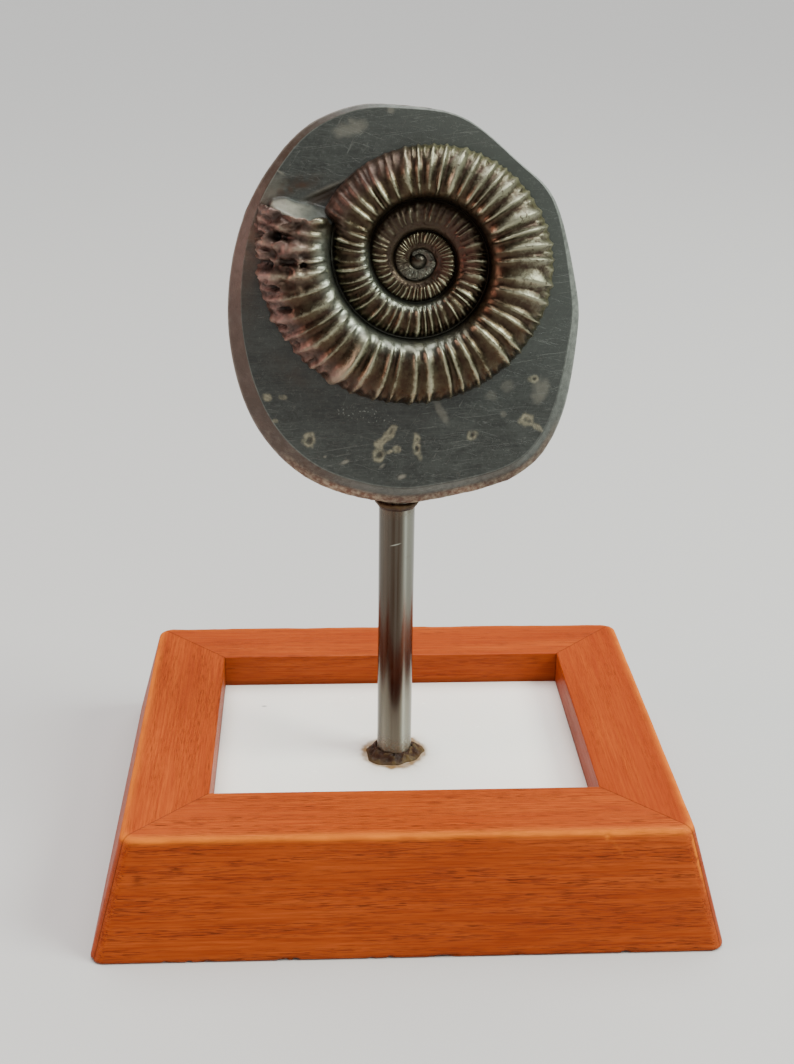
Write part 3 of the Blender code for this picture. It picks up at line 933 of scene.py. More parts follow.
@dataclass
class AmmoniteShell:
    """The ribbed shell, as one strip that winds inwards and shares its seams, with a skirt into the stone.

    Each wave of the drift has its size, its pace and its start. Each pit has its x and y in mm in the
    slab's frame, its half width and its half height.
    """

    finish: ShellFinish = ShellFinish()
    coil: Coil = field(default_factory=Coil)
    ribs: int = 46
    steps_per_rib: int = 12
    rows: int = 44
    centre: float = 1398.0
    crest_place: float = -0.15
    wall_power: float = 3.0
    flank_power: float = 2.3
    rib_height: float = 0.29
    clod_height: float = 1.15
    knob_at: tuple[float, float] = (-21.2 * MM, 8.6 * MM)
    knob_height: float = 0.9 * MM
    pit_depth: float = 1.6 * MM
    depth: float = 1.9 * MM
    drift: tuple[Triple, ...] = ((0.20, 3.1, 0), (0.14, 9.3, 40), (0.10, 23.7, 10))
    pits: tuple[tuple[float, ...], ...] = (
        (-33.0, 5.3, 1.7, 1.1), (-29.4, 5.3, 2.0, 1.1), (-32.3, -0.6, 1.7, 1.6), (-27.4, 0.2, 2.2, 0.8),
        (-30.5, -5.2, 2.0, 0.7), (-24.0, -0.3, 0.7, 0.5), (-28.2, -9.6, 1.6, 0.6), (-31.9, 2.6, 0.7, 0.5),
        (-28.8, -13.2, 0.9, 0.5), (-25.6, -16.6, 0.8, 0.5))

    @property
    def whorl(self) -> int:
        """Columns of points in one turn."""
        return self.ribs * self.steps_per_rib

    def across(self) -> Array:
        """Rows across a whorl, from -1 inside to 1 outside, closer together at both edges."""
        share = np.linspace(0, 1, self.rows + 1)
        return (0.45 * (2 * share - 1) - 0.55 * np.cos(np.pi * share))[None, :]

    @staticmethod
    def further_in(angle: Array) -> Array:
        """Share from 0 on the outer whorl to 1 on the inner ones, whose ribs are short over a bare wall."""
        return ramp(490, 590, angle)

    @staticmethod
    def shown_edge(start: float, angle: Array) -> Array:
        """Share by which the shell's edge turns to the viewer, just before the next whorl hides it."""
        return ramp(start, 300, angle) * ramp(342, 338, angle)

    def base(self, angle: Array, across: Array) -> Array:
        """Whorls with no ribs.

        Radius goes evenly from the inner edge to the outer. Height is a line between the two edges' heights
        plus an arch: the square root of one less the reach from the crest to a power.

        Args:
            angle: column of angles.
            across: row of places across.

        Returns:
            Points in the slab's frame, of shape (angles, places, 3).
        """
        coil = self.coil
        inner, outer = coil.inner(angle), coil.outer(angle)
        low, high = coil.edge_height(angle + 360), coil.edge_height(angle)
        place = (across + 1) / 2
        further_in = self.further_in(angle)
        top = self.crest_place + 0.35 * further_in
        inside = across < top
        reach = np.where(inside, (top - across) / (top + 1), (across - top) / (1 - top))
        power = np.where(inside, self.wall_power - 1.1 * further_in, self.flank_power)
        arch = np.sqrt(np.maximum(1 - reach ** power, 0))
        line = low + (high - low) * place
        radius = inner + (outer - inner) * place
        turn = np.radians(angle + 180)
        return xyz(radius * np.cos(turn), radius * np.sin(turn),
                   line + (smooth_value(coil.crest, angle) * MM - line) * arch)

    def ribbing(self, angle: Array, across: Array) -> Array:
        """Rib relief from 0 in a trough to 1 on a crest.

        A rib is one less the size of a sine, so crests are sharp and troughs round like flutes. On the outer
        shoulder half of it changes to a pattern of twice as many.

        Args:
            angle: column of angles.
            across: row of places across.

        Returns:
            Relief of shape (angles, places).
        """
        drift = sum(size * np.sin(np.radians(angle * pace + start)) for size, pace, start in self.drift)
        phase = angle / 360 * self.ribs + drift + 0.22 * (across - 0.1) ** 2
        sharp = 0.012 + 0.07 * ramp(350, 480, angle)

        def crests(times: int) -> Array:
            """One less the size of a sine, from 0 to 1, with its tip a little blunted."""
            blunt = np.sqrt(np.sin(times * np.pi * phase) ** 2 + sharp)
            return 1 - (blunt - sharp ** 0.5) / (1 - sharp ** 0.5)

        own_height = np.abs(np.sin(np.floor(phase + 0.5) * 12.9898 + 4.1) * 43758.5453) % 1.0
        main = crests(1) * (0.62 + 0.55 * own_height)
        early = 0.4 * self.shown_edge(255, angle)
        split = ramp(0.55, 0.85, across + early)
        ribs = (1 - split) * main + split * (0.55 * crests(2) + 0.45 * main)
        fade = ramp(-0.60, -0.25, across) * (1 - 0.8 * ramp(0.70, 0.95, across))
        return ribs * (1 - self.further_in(angle) * (1 - fade))

    def masks(self, angle: Array, across: Array) -> Numbers:
        """Where the shell is crusted, dull, coppery, bright, silvery or olive, each from 0 to 1.

        Args:
            angle: column of angles.
            across: row of places across.

        Returns:
            Shares of shape (angles, places), by name.
        """
        turned = angle % 360
        left = ramp(85, 30, angle)
        facing = ramp(120, 160, turned) * ramp(250, 215, turned)
        wall = ramp(-0.4, -0.85, across) * np.maximum(ramp(140, 95, turned), ramp(335, 350, turned))
        shoulder = bell(across, -0.42, 0.2) * np.maximum(ramp(330, 360, angle) * ramp(490, 455, angle),
                                                         0.6 * ramp(130, 90, angle))
        bare = self.further_in(angle) * ramp(-0.15, -0.55, across) * ramp(1100, 1010, angle)
        shares = {
            "mouth": most(0.8 * ramp(18, -6, angle) * ramp(-0.6, -0.2, across),
                          left * ramp(0.2, 0.7, across)),
            # On the outer whorls: silvery wall colour and a painted highlight where the wall faces the key
            # light; in the middle, its own silvery colour.
            "silver": most(wall * (angle < 520), 0.60 * ramp(1060, 1150, angle)) * 0.85,
            # Partly the shell's coppery tint, partly painted red light on walls facing the reddish fill and
            # on the left.
            "copper_and_painted_red_light": most(0.32 * ramp(-0.35, -0.75, across) * facing,
                           0.6 * facing * ramp(500, 540, angle) * ramp(0.5, 0.0, across),
                           0.25 * left * ramp(-0.2, 0.2, across)),
            # Painted highlight: the ribs on the right and top of the outer whorl, and along the inner
            # shoulder.
            "bright": most(ramp(140, 175, angle) * ramp(285, 250, angle) * ramp(-0.5, 0.3, across), shoulder),
            "dull": most(0.7 * ramp(545, 575, angle) * ramp(715, 680, angle), 0.65 * ramp(1010, 1120, angle),
                         0.75 * bare),
            "olive": 0.5 * ramp(120, 170, angle) * ramp(285, 262, angle) * ramp(0.72, 0.95, across),
            "edge": self.shown_edge(265, angle) * ramp(0.0, 0.5, across)}
        return {label: np.broadcast_to(share, np.broadcast_shapes(angle.shape, across.shape))
                for label, share in shares.items()}

    def wind(self, across: Array) -> Array:
        """Angles of the strip's points, even but for the mouth, where they follow its ragged break.

        The mouth sags in its middle and at its lower end, and noise tears it.

        Args:
            across: row of places across.

        Returns:
            Angles of shape (angles, places).
        """
        step = 360 / self.whorl
        count = round((self.centre - self.coil.mouth) / step)
        angle = (self.coil.mouth + np.arange(count + 1) * step)[:, None]
        share = (across + 1) / 2
        tear = layered_noise(xyz(share * 9.0, 0.5, 0.5), 1.0, 3)
        knob = bell(share, 0.19, 0.11) * (share > 0)
        arch = np.sin(np.pi * share)
        sag = 2.2 * share + 1.3 * arch - 3.6 * knob + 1.2 * tear * arch ** 0.5
        return angle + sag * ramp(15, 0, angle - self.coil.mouth)

    def surface(self) -> tuple[Array, Numbers]:
        """The strip's points in the slab's frame and its numbers per point.

        Relief is added along the normals of the plain whorls: flutes, roughness, the crust's clods and pits.

        Returns:
            Points of shape (columns, rows, 3), and numbers of shape (columns, rows) by name.
        """
        across = self.across()
        angle = self.wind(across)
        points = self.base(angle, across)
        spots = points / MM
        rib = self.ribbing(angle, across)
        masks = self.masks(angle, across)
        crust, edge = masks.pop("mouth"), masks.pop("edge")
        dull, bright, silver = masks["dull"], masks["bright"], masks["silver"]
        lumps = layered_noise(spots, 1.7, 11, 4)
        fine = layered_noise(spots, 0.6, 21)
        ragged = layered_noise(spots, 0.9, 17, 2)
        clods = 0.55 - 1.5 * np.abs(layered_noise(spots, 3.4, 15))
        uneven = layered_noise(xyz(angle / 9.0, across * 1.2, 0.0), 1.0, 5, 1)
        torn = ramp(22, 2, angle) * ramp(-0.5, 0.0, across)
        from_centre = np.hypot(spots[..., 0], spots[..., 1])
        centre = ramp(5.0, 3.0, from_centre)
        pitch = TURN * from_centre * MM / self.ribs
        strength = (1.05 + 0.25 * uneven) * (1 - 0.50 * dull) * (1 + 0.35 * bright) * (1 - 0.62 * edge)
        relief = (rib - 0.3) * strength * self.rib_height * pitch * (1 + 0.2 * crust) * (1 - 0.6 * torn)
        relief = relief + MM * (
            self.clod_height * torn * clods + (0.05 + 0.40 * crust) * lumps
            + (0.12 * dull + 0.30 * centre + 0.11 * silver * (angle < 520)) * ragged
            + (0.025 + 0.13 * crust + 0.03 * dull) * fine)
        relief = relief * (1 - 0.55 * ramp(0.75, 1.0, across))
        relief = relief + 0.25 * MM * crust * ramp(0.5, 0.95, across) * (0.3 * rib + lumps)
        from_knob = np.hypot(points[..., 0] - self.knob_at[0], points[..., 1] - self.knob_at[1])
        knob = bell(from_knob, 0.0, 1.6 * MM) * (1 + 0.5 * lumps)
        hole = self.holes(spots, lumps) * (angle < 90)
        inside = ramp(-0.92, -0.55, across) * (1 - self.coil.covered(angle) * ramp(0.80, 0.97, across))
        relief = (relief + self.knob_height * knob - self.pit_depth * hole) * inside
        points = points - surface_normals(points) * relief[..., None]
        # Painted light per point: high on the rib crests for a painted highlight, low in the troughs for
        # painted shade, plus noise.
        painted_light = 0.12 + 0.85 * rib * strength + 0.12 * (lumps + fine)
        painted_light = painted_light + 0.35 * torn * clods + 0.35 * centre * ragged
        painted_light = np.clip(painted_light, 0, 1) * inside + 0.5 * (1 - inside)
        # Painted shade along the seams between whorls, fading out near the middle.
        seam = np.exp(-(1 + across) / 0.04) * (angle > 0)
        seam = seam + self.coil.covered(angle) * np.exp(-(1 - across) / 0.10)
        seam = np.clip(seam, 0, 1) * (1 - 0.9 * ramp(980, 1100, angle))
        return points, {"relief": painted_light, "hole": hole, "seam": seam,
                        "crust": np.maximum(crust, 0.75 * edge), **masks}

    def holes(self, spots: Array, lumps: Array) -> Array:
        """Pits in the crust by the mouth: flat bells round fixed places, their edges made ragged by noise.

        Args:
            spots: points in mm in the slab's frame.
            lumps: noise per point.

        Returns:
            Share of pit per point.
        """
        places = np.array(self.pits)
        gap = (spots[..., None, :2] - places[:, :2]) / places[:, 2:]
        return ramp(1.15, 0.55, np.hypot(gap[..., 0], gap[..., 1]).min(axis=-1) + 0.28 * lumps)

    def build(self, place: SlabPlace, library: Library) -> bpy.types.Object:
        """The shell's object.

        The outer seam of each inner whorl is the inner seam of the one outside, so they share points. The
        inner end is closed by a fan over a small knob, the free edge by a skirt down into the stone.

        Args:
            place: where the slab's frame lies.
            library: shared groups.

        Returns:
            The object, in the world, closed and dressed.
        """
        points, numbers = self.surface()
        columns, rows = points.shape[:2]
        whorl = self.whorl
        index = np.arange(columns * rows).reshape(columns, rows)
        index[whorl:, -1] = index[:columns - whorl, 0]
        quads = np.stack([index[:-1, :-1], index[:-1, 1:], index[1:, 1:], index[1:, :-1]], axis=-1)
        quads = quads.reshape(-1, 4)
        flat = points.reshape(-1, 3)
        rim = np.concatenate([index[columns - whorl - 1:, 0], index[-1, 1:-1]])
        knob = flat[rim].mean(axis=0) + np.array([0, 0, 0.5 * MM])
        edge = np.concatenate([index[:whorl, -1], index[0, :-1]])
        foot = flat[edge] * np.array([1, 1, 0]) - np.array([0, 0, self.depth])
        start = len(flat)
        flat = np.vstack([flat, knob[None], foot, foot.mean(axis=0)[None]])
        below = np.arange(len(foot)) + start + 1
        skirt = np.stack([edge, below, np.roll(below, -1), np.roll(edge, -1)], axis=-1)
        triangles = np.vstack([fan_triangles(rim, start), fan_triangles(below, len(flat) - 1)])[:, ::-1]
        faces = np.concatenate([quads.ravel(), skirt.ravel(), triangles.ravel()])
        used, compact = np.unique(faces, return_inverse=True)
        squares = quads.size + skirt.size
        values = {label: value.ravel()[used[used < start]] for label, value in numbers.items()}
        shell = make_mesh("ammonite_shell", place.to_world(flat[used]), compact[:squares].reshape(-1, 4),
                          compact[squares:].reshape(-1, 3), values)
        return hand_over(shell, self.finish.build("bronze_shell", library), "ammonite")


@dataclass(frozen=True)
class Mark:
    """A burrow or spot on the slab's face: its middle, half sizes and turn, in mm and degrees."""

    x: float
    y: float
    long: float
    short: float
    turn: float = 0.0
    pit: float = 0.0
    strength: float = 1.0

    def near(self, spots: Array) -> Array:
        """Distance from the mark's middle in its own half sizes, so 1 is its edge.

        Args:
            spots: points in mm in the slab's frame.

        Returns:
            The distance per point.
        """
        cos, sin = np.cos(np.radians(self.turn)), np.sin(np.radians(self.turn))
        x, y = spots[..., 0] - self.x, spots[..., 1] - self.y
        return np.hypot((x * cos + y * sin) / self.long, (y * cos - x * sin) / self.short)


@dataclass
class MatrixSlab:
    """The stone slab: rings from the middle of the face out over the bevel and the rim to the back.

    The patches are, in order: the rusty one low on the left, the hollow, the lip and the ridge over the
    mouth, the brown one beside the mouth, and the rusty one at the rim above it.
    """

    finish: StoneFinish = StoneFinish()
    coil: Coil = field(default_factory=Coil)
    thickness: float = 14 * MM
    back_edge: float = 12 * MM
    back_round: float = 5 * MM
    bevel_mean: float = 2.35 * MM
    bevel_lower: float = 1.6 * MM
    bevel_left: float = 0.6 * MM
    bevel_slope: float = 0.8
    bulge: float = 0.25 * MM
    hidden_radius: float = 19 * MM
    mouth_radius: float = 30 * MM
    wedge_height: float = 6.3 * MM
    wedge_inner: float = 19.6
    wedge_outer: float = 32.9
    inset: float = 0.999
    soften: int = 6
    columns: int = 720
    burrows: tuple[Mark, ...] = tuple(Mark(*row) for row in (
        (-23.3, -37.9, 1.3, 1.15, 60, 0.7), (-5.7, -36.2, 1.4, 0.9, 60, 0.4),
        (-7.2, -38.0, 1.7, 1.0, 55, 0.4), (-8.2, -41.0, 1.6, 1.35, 80, 0.8),
        (-8.1, -39.4, 1.4, 1.0, 80, 0.1), (-4.4, -40.0, 1.1, 0.75, 10, 0.4), (-5.9, -40.5, 0.9, 0.5, 10),
        (-0.2, -37.7, 1.0, 0.85, 90, 0.7), (-0.3, -39.7, 1.15, 0.9, 90, 0.9),
        (0.4, -41.3, 1.2, 0.5, 110, 0, 0.5), (11.7, -36.9, 1.2, 1.0, 60, 0.9),
        (23.5, -34.0, 1.8, 1.3, -20, 0.3), (25.6, -35.3, 1.5, 0.6, -35, 0.2),
        (24.6, -24.9, 0.9, 0.75, 0, 1.0), (-32.1, -28.8, 1.1, 0.9, 0, 0.5),
        (-28.8, -28.6, 0.8, 0.6, 0, 0, 0.6), (-30.5, -33.7, 0.7, 0.5, 0, 0, 0.7)))
    pale_marks: tuple[Mark, ...] = tuple(Mark(*row) for row in (
        (-14.3, 26.6, 3.4, 1.9, 20), (26.1, -27.5, 2.0, 2.9), (4.9, -31.8, 3.6, 0.8, 122),
        (-31.0, 15.0, 4.2, 2.6, 35, 0, 0.75), (-6.0, 30.4, 0.9, 0.8), (-15.6, -42.7, 1.2, 0.45, 20, 0, 1.8),
        (-3.4, -46.1, 1.0, 0.6, 30, 0, 2.0), (-29.5, 18.6, 2.6, 0.25, -35, 0, 1.6),
        (19.1, -26.2, 1.6, 1.5, 0, 0, 0.6), (15.6, -28.6, 1.4, 1.2, 0, 0, 0.5),
        (18.4, -32.4, 0.7, 0.7, 0, 0, 0.8), (-19.9, -41.5, 0.35, 0.3, 0, 0, 2.0),
        (-7.6, -43.6, 0.8, 0.3, 40, 0, 1.2)))
    patches: tuple[Mark, ...] = tuple(Mark(*row) for row in (
        (-27.0, -23.5, 5.5, 2.4, -38), (-26.6, 15.2, 4.6, 1.3, 14), (-20.0, 13.2, 3.8, 1.2, 24),
        (-19.4, 14.6, 4.4, 0.35, 24), (-37.0, -2.0, 3.6, 12.0), (-34.5, 5.0, 2.6, 8.0, -14)))
    speckled: Mark = Mark(-11.3, -32.6, 6.5, 1.6, -8)

    def wedge(self, points: Array, noise: Array) -> Array:
        """Height of the pale slope of stone that runs down from the broken mouth to the face.

        It is as high as the whorl's arch along the mouth's line and falls off beyond it.

        Args:
            points: points in the slab's frame.
            noise: noise per point.

        Returns:
            The height per point.
        """
        turn = np.radians(self.coil.mouth + 180)
        along = (points[..., 0] * np.cos(turn) + points[..., 1] * np.sin(turn)) / MM
        beyond = (points[..., 0] * np.sin(turn) - points[..., 1] * np.cos(turn)) / MM
        share = np.clip((along - self.wedge_inner) / (self.wedge_outer - self.wedge_inner), 0, 1)
        arch = np.sqrt(np.maximum(1 - (np.abs(2 * share - 0.85) / 1.15) ** 2.3, 0))
        arch = np.maximum(arch, ramp(0.0, 0.12, share) * (share < 0.3))
        run = 3.3 - 2.5 * share ** 1.5 + 0.25 * noise
        fall = np.clip(1 - (beyond + 1.0) / (run + 1.0), 0, 1)
        fall = fall ** 1.2 + 0.04 * np.sin(np.pi * fall) * noise
        under = 0.2 - 2.2 * share - 2.4 * np.sin(np.pi * share)
        return self.wedge_height * arch * np.clip(fall, 0, 1) * (beyond > under) * (share > 0)

    def under_shell(self, face_edge: Array, reach: Array) -> Array:
        """Where the face's coarse middle ends: just inside the shell's outer edge, so it stays hidden.

        Args:
            face_edge: the outer edge of the face.
            reach: its distance from the middle of the coil.

        Returns:
            The distance from the middle of the coil, per column.
        """
        direction = (np.degrees(np.arctan2(face_edge[:, 1], face_edge[:, 0])) - 180) % 360
        angle = np.where(direction > self.coil.cover_end, direction - 360, direction)
        hole = np.where(direction > 300, self.hidden_radius, self.coil.outer(angle) - 1.5 * MM)
        from_mouth = ramp(self.coil.mouth, 30, angle)
        at_mouth = self.hidden_radius + (self.mouth_radius - self.hidden_radius) * from_mouth
        hole = np.where((angle >= self.coil.mouth) & (angle < 30), at_mouth, hole)
        return np.minimum(hole, reach - 1.2 * MM)

    def surface(self) -> tuple[Array, Numbers]:
        """The plain slab, ring by ring.

        Returns:
            Points of shape (columns, rings, 3) in its own frame, and its numbers per point.
        """
        outline = slab_outline(self.columns) * self.inset
        for _ in range(2):
            beside = np.roll(outline, self.soften, axis=0) + np.roll(outline, -self.soften, axis=0)
            outline = 0.25 * (beside + 2 * outline)
        middle = (outline.max(axis=0) + outline.min(axis=0)) / 2
        away = outline - middle
        right, up = (away / np.linalg.norm(away, axis=1, keepdims=True)).T
        bevel = self.bevel_mean - self.bevel_lower * up - self.bevel_left * right
        bevel = bevel - 0.45 * MM * np.clip(0.6 * right + 0.8 * up, 0, 1) ** 4
        tangent = np.roll(outline, -1, axis=0) - np.roll(outline, 1, axis=0)
        tangent = tangent / np.linalg.norm(tangent, axis=1, keepdims=True)
        inwards = np.stack([-tangent[:, 1], tangent[:, 0]], axis=1)
        face_edge = outline + inwards * bevel[:, None]
        reach = np.linalg.norm(face_edge, axis=1)
        hole = self.under_shell(face_edge, reach)
        drop = self.bevel_slope * bevel
        lower = ramp(0.62, 0.92, 0.12 * right - up)
        left = ramp(0.1, 0.8, -right)
        # Painted sheen on the bevel's right side, weaker towards the bottom; with real wear it makes the
        # bevel's pale share.
        sheen = (0.75 - 0.5 * ramp(0.0, 0.65, -up)) * ramp(0.5, -0.1, -right)
        steps = np.concatenate([np.linspace(0, 0.985, 62), [0.996, 1.0]])

        rings = [(face_edge * (hole / reach * s)[:, None], 0.0, 1.0, 0.0, 0.0) for s in (0.4, 0.8)]
        # Painted highlight line along the face's edge, stronger on the left, partly real chipped wear.
        rings += [(face_edge * ((hole + (reach - hole) * s) / reach)[:, None], 0.0, 1.0, 0.0,
                   (0.35 + 0.25 * left) * (s > 0.99)) for s in steps]
        for s in (0.04, 0.1, 0.2, 0.32, 0.45, 0.58, 0.72, 0.86, 0.95, 1.0):
            # Painted highlight along the bevel's outer edge except low down, over the painted sheen; a little
            # real wear low down and on the left.
            wear_and_sheen = sheen * (1 - lower * ramp(0.3, 0.6, s)) + 0.9 * (1 - lower) * ramp(0.82, 1, s)
            wear_and_sheen = np.clip(wear_and_sheen + 0.10 * lower * (s < 0.5), 0, 1) * (s > 0.05) + 0.25 * left * (s < 0.05)
            rings.append((face_edge + (outline - face_edge) * s, -drop * s,
                          0.95 - 0.6 * lower * ramp(0.5, 0.7, s),
                          0.4 * left + lower * ramp(0.45, 0.7, s), wear_and_sheen))
        rings += [(outline + inwards * self.bulge * (1 - np.sin(np.pi * s)),
                   -(drop + (self.back_edge - drop) * s), 0.0, 0.6 + 0.4 * lower, 0.35 * left * (s < 0.1))
                  for s in (0.02, *np.linspace(0.08, 1, 13))]
        rings += [(outline + inwards * self.back_round * (1 - np.cos(s * np.pi / 2)),
                   -self.back_edge - (self.thickness - self.back_edge) * np.sin(s * np.pi / 2), 0.0, 0.6, 0.0)
                  for s in np.linspace(0.15, 1, 7)]
        edge = rings[-1][0]
        rings += [(middle + (edge - middle) * s, -self.thickness, 0.0, 0.6, 0.0)
                  for s in np.linspace(0.94, 0.06, 16)]
        flats, *others = zip(*rings)
        height, *found = (np.stack([np.broadcast_to(value, self.columns) for value in ring_values], axis=1)
                          for ring_values in others)
        return np.dstack([np.stack(flats, axis=1), height]), dict(zip(("ground", "rust", "wear_and_sheen"), found))

    def dress(self, points: Array, numbers: Numbers) -> tuple[Array, Numbers]:
        """Adds the face's marks, the stone by the mouth and the rough rim to the plain slab.

        Args:
            points: the plain slab's points.
            numbers: its numbers per point.

        Returns:
            The points and the numbers, with the marks.
        """
        on_face = (points[..., 2] > -1e-6).astype(float)
        ground = numbers["ground"]
        spots = points / MM
        x, y = spots[..., 0], spots[..., 1]
        noise = layered_noise(spots, 2.5, 31)
        coarse = layered_noise(spots, 7.0, 41)
        ragged = layered_noise(spots, 1.1, 43, 2)
        halo, pit, pale = (np.zeros(x.shape) for _ in range(3))
        for mark in self.burrows:
            near = mark.near(spots) + 0.26 * noise + 0.26 * ragged
            ring = 0.65 * ramp(1.3, 0.75, near) + 0.35 * bell(near, 0.75, 0.3)
            halo = np.maximum(halo, ring * 0.9 * mark.strength * on_face)
            pit = np.maximum(pit, ramp(0.55, 0.15, near) * mark.pit * on_face)
        for mark in self.pale_marks:
            near = mark.near(spots) + 0.2 * noise + 0.15 * ragged
            pale = np.maximum(pale, 0.3 * mark.strength * ramp(1.2, 0.4, near) * on_face)
        rusty, hollow, lip, ridge, beside, high = (bell(mark.near(spots), 0, 1) * on_face
                                                   for mark in self.patches)
        wedge = self.wedge(points, noise) * on_face
        slope = ramp(0.2 * MM, 1.4 * MM, wedge) * (0.12 + 0.50 * ramp(23, 28, np.hypot(x, y) + 0.9 * noise))
        stains = [np.clip(1.3 * hollow * (0.7 + 0.7 * ragged) + 0.9 * lip, 0, 1) * (wedge < 0.3 * MM),
                  0.45 * rusty * np.clip(0.8 + 0.6 * noise, 0, 1),
                  0.6 * beside * np.clip(0.8 + 0.4 * noise, 0, 1) * (y < 0)]
        rough = (1 - ground) * (0.10 * coarse + 0.16 * noise + 0.10 * ragged)
        rough = rough * (1 - 0.65 * ramp(-46, -30, y) * (points[..., 2] > -self.back_edge))
        points = points.copy()
        points[..., 2] += wedge + MM * (
            0.35 * ridge - 0.6 * hollow - 0.9 * lip - 0.25 * pit * (ground > 0.9) + 0.02 * coarse * on_face)
        shift = MM * (rough * (1 - on_face) - 0.15 * (1 - ground))
        points = points + surface_normals(points) * shift[..., None]
        x, y = points[..., 0] / MM, points[..., 1] / MM
        # Darker on the left part of the bevel, where it has no pale share.
        band = (numbers["wear_and_sheen"] < 0.5) * (ground > 0.9) * (1 - on_face) * ramp(2, 30, 0.15 * y - x)
        stains.append(0.8 * band * np.clip(0.8 + 0.5 * noise + 0.3 * ragged, 0, 1))
        crumbs = 0.22 + 0.7 * ramp(-30, -46, y) * (points[..., 2] > -0.9 * self.back_edge)
        return points, {
            "ground": ground, "wear_and_sheen": numbers["wear_and_sheen"], "crumbs": crumbs, "halo": halo, "pit": pit,
            "stain": most(*stains),
            "rust": most(numbers["rust"], 0.95 * high * np.clip(0.9 + 0.4 * noise, 0, 1)),
            # The ridge's share is a painted highlight line along the ridge over the mouth.
            "pale": most(pale, slope * np.clip(0.85 + 0.35 * coarse, 0, 1.1), 0.35 * ridge),
            "speckle": (0.12 + 0.88 * ramp(1.2, 0.6, self.speckled.near(spots))) * on_face,
            "side_light": ramp(-5, 30, x + 0.7 * y) * on_face}

    def build(self, place: SlabPlace, library: Library) -> bpy.types.Object:
        """The slab's object. The middle of its face, which is added after the rings, is ground too.

        Args:
            place: where the slab's frame lies.
            library: shared groups.

        Returns:
            The object, in the world, closed and dressed.
        """
        points, numbers = self.dress(*self.surface())
        numbers["ground"] = np.append(numbers["ground"], 1.0)
        columns, rows = points.shape[:2]
        first = np.arange(columns) * rows
        flat, triangles = close_ends(points.reshape(-1, 3), first, first + rows - 1)
        quads = grid_quads(columns, rows, wrap_columns=True)
        slab = make_mesh("stone_slab", place.to_world(flat), quads, triangles, numbers, flip=True)
        return hand_over(slab, self.finish.build("grey_stone", library), "matrix_slab")


@dataclass
class SteelRod:
    """The round rod, turned from a profile with rounded ends."""

    finish: SteelFinish = SteelFinish()
    sides: int = 96
    levels: int = 120
    soft: float = 0.4 * MM

    def build(self, library: Library) -> bpy.types.Object:
        """The rod's object. Radius over height: full, with a quarter-round of a small radius at each end.

        Args:
            library: shared groups.

        Returns:
            The object, closed and dressed.
        """
        low, high = corners_of("rod")
        axis, radius = rod_line()
        z = np.linspace(low[2], high[2], self.levels)
        into = np.maximum(self.soft - np.minimum(z - low[2], high[2] - z), 0)
        inset = self.soft - np.sqrt(np.maximum(self.soft ** 2 - into ** 2, 0))
        turn = np.linspace(0, TURN, self.sides, endpoint=False)[:, None]
        r = radius - inset
        points = xyz(axis[0] + r * np.cos(turn), axis[1] + r * np.sin(turn), z)
        first = np.arange(self.sides) * self.levels
        flat, triangles = close_ends(points.reshape(-1, 3), first, first + self.levels - 1)
        height = flat[:, 2] / MM
        around = (flat[:, 0] - axis[0]) / radius
        # Painted reflection: dark bands on the rod's left and middle as seen from the front, fading out on
        # its right.
        painted_dark_reflection = 0.75 + 0.25 * ramp(-0.6, -0.3, around) - 0.95 * ramp(0.15, 0.45, around)
        uneven = layered_noise(flat / MM * np.array([1, 1, 0.08]), 2.0, 71, 2)
        painted_dark_reflection = np.clip(painted_dark_reflection + 0.12 * uneven, 0, 1)
        numbers = {"grime": np.maximum(ramp(25, 19, height), 0.6 * ramp(78, 82, height)),
                   "painted_dark_reflection": painted_dark_reflection * (0.72 + 0.28 * ramp(18, 62, height)),
                   # Painted highlight line on the front right of the rod.
                   "painted_light": 0.38 * bell(around, 0.46, 0.07) * (flat[:, 1] < axis[1])}
        quads = grid_quads(self.sides, self.levels, wrap_columns=True)
        rod = make_mesh("steel_rod", flat, quads, triangles, numbers)
        return hand_over(rod, self.finish.build("polished_steel", library), "rod")


@dataclass
class GlueRing:
    """A ring of hardened glue round the rod, its section blown out and roughened."""

    name: str
    node: str
    slot: str
    knots: Knots
    wobble: float
    lumps: float
    finish: GlueFinish = GlueFinish()
    turns: int = 200
    section_points: int = 48

    def build(self, library: Library) -> bpy.types.Object:
        """The ring's object: a closed section of (radius, height) carried round the rod's axis.

        The section is a smooth closed curve through its knots. Its outer part is pushed out by three waves
        and by noise, and its heights by the same noise.

        Args:
            library: shared groups.

        Returns:
            The object, closed and dressed.
        """
        axis, _ = rod_line()
        across, up = closed_curve(self.knots, self.section_points).T * MM
        turn = np.linspace(0, TURN, self.turns, endpoint=False)[:, None]
        wave = 0.5 * np.sin(2 * turn + 0.6) + 0.3 * np.sin(3 * turn + 2.0) + 0.2 * np.sin(7 * turn)
        share = (across - across.min()) / (across.max() - across.min())
        radius = across + self.wobble * wave * share
        points = xyz(axis[0] + radius * np.cos(turn), axis[1] + radius * np.sin(turn), up)
        noise = layered_noise(points / MM, 1.3, 51)
        shift = 0.35 * MM * layered_noise(points / MM * np.array([1, 1, 0.2]), 2.2, 57, 2) * share ** 2
        points[..., 0] += shift * np.cos(turn)
        points[..., 1] += shift * np.sin(turn)
        points[..., 2] += self.lumps * noise * ramp(up.min() + 0.3 * MM, up.min() + 1.0 * MM, points[..., 2])
        # Painted light: the side towards the key light is made amber as if lit through; amber at the thin
        # outer edge is the glue's own.
        facing = 0.5 + 0.5 * np.cos(turn + 0.5)
        thin = np.clip(0.55 * share ** 4 + 0.8 * facing * ramp(-0.1, 0.8, noise), 0, 1)
        quads = grid_quads(self.turns, self.section_points, wrap_columns=True, wrap_rows=True)
        ring = make_mesh(self.name, points, quads, numbers={"thin": thin})
        return hand_over(ring, self.finish.build(self.name, library), self.node)


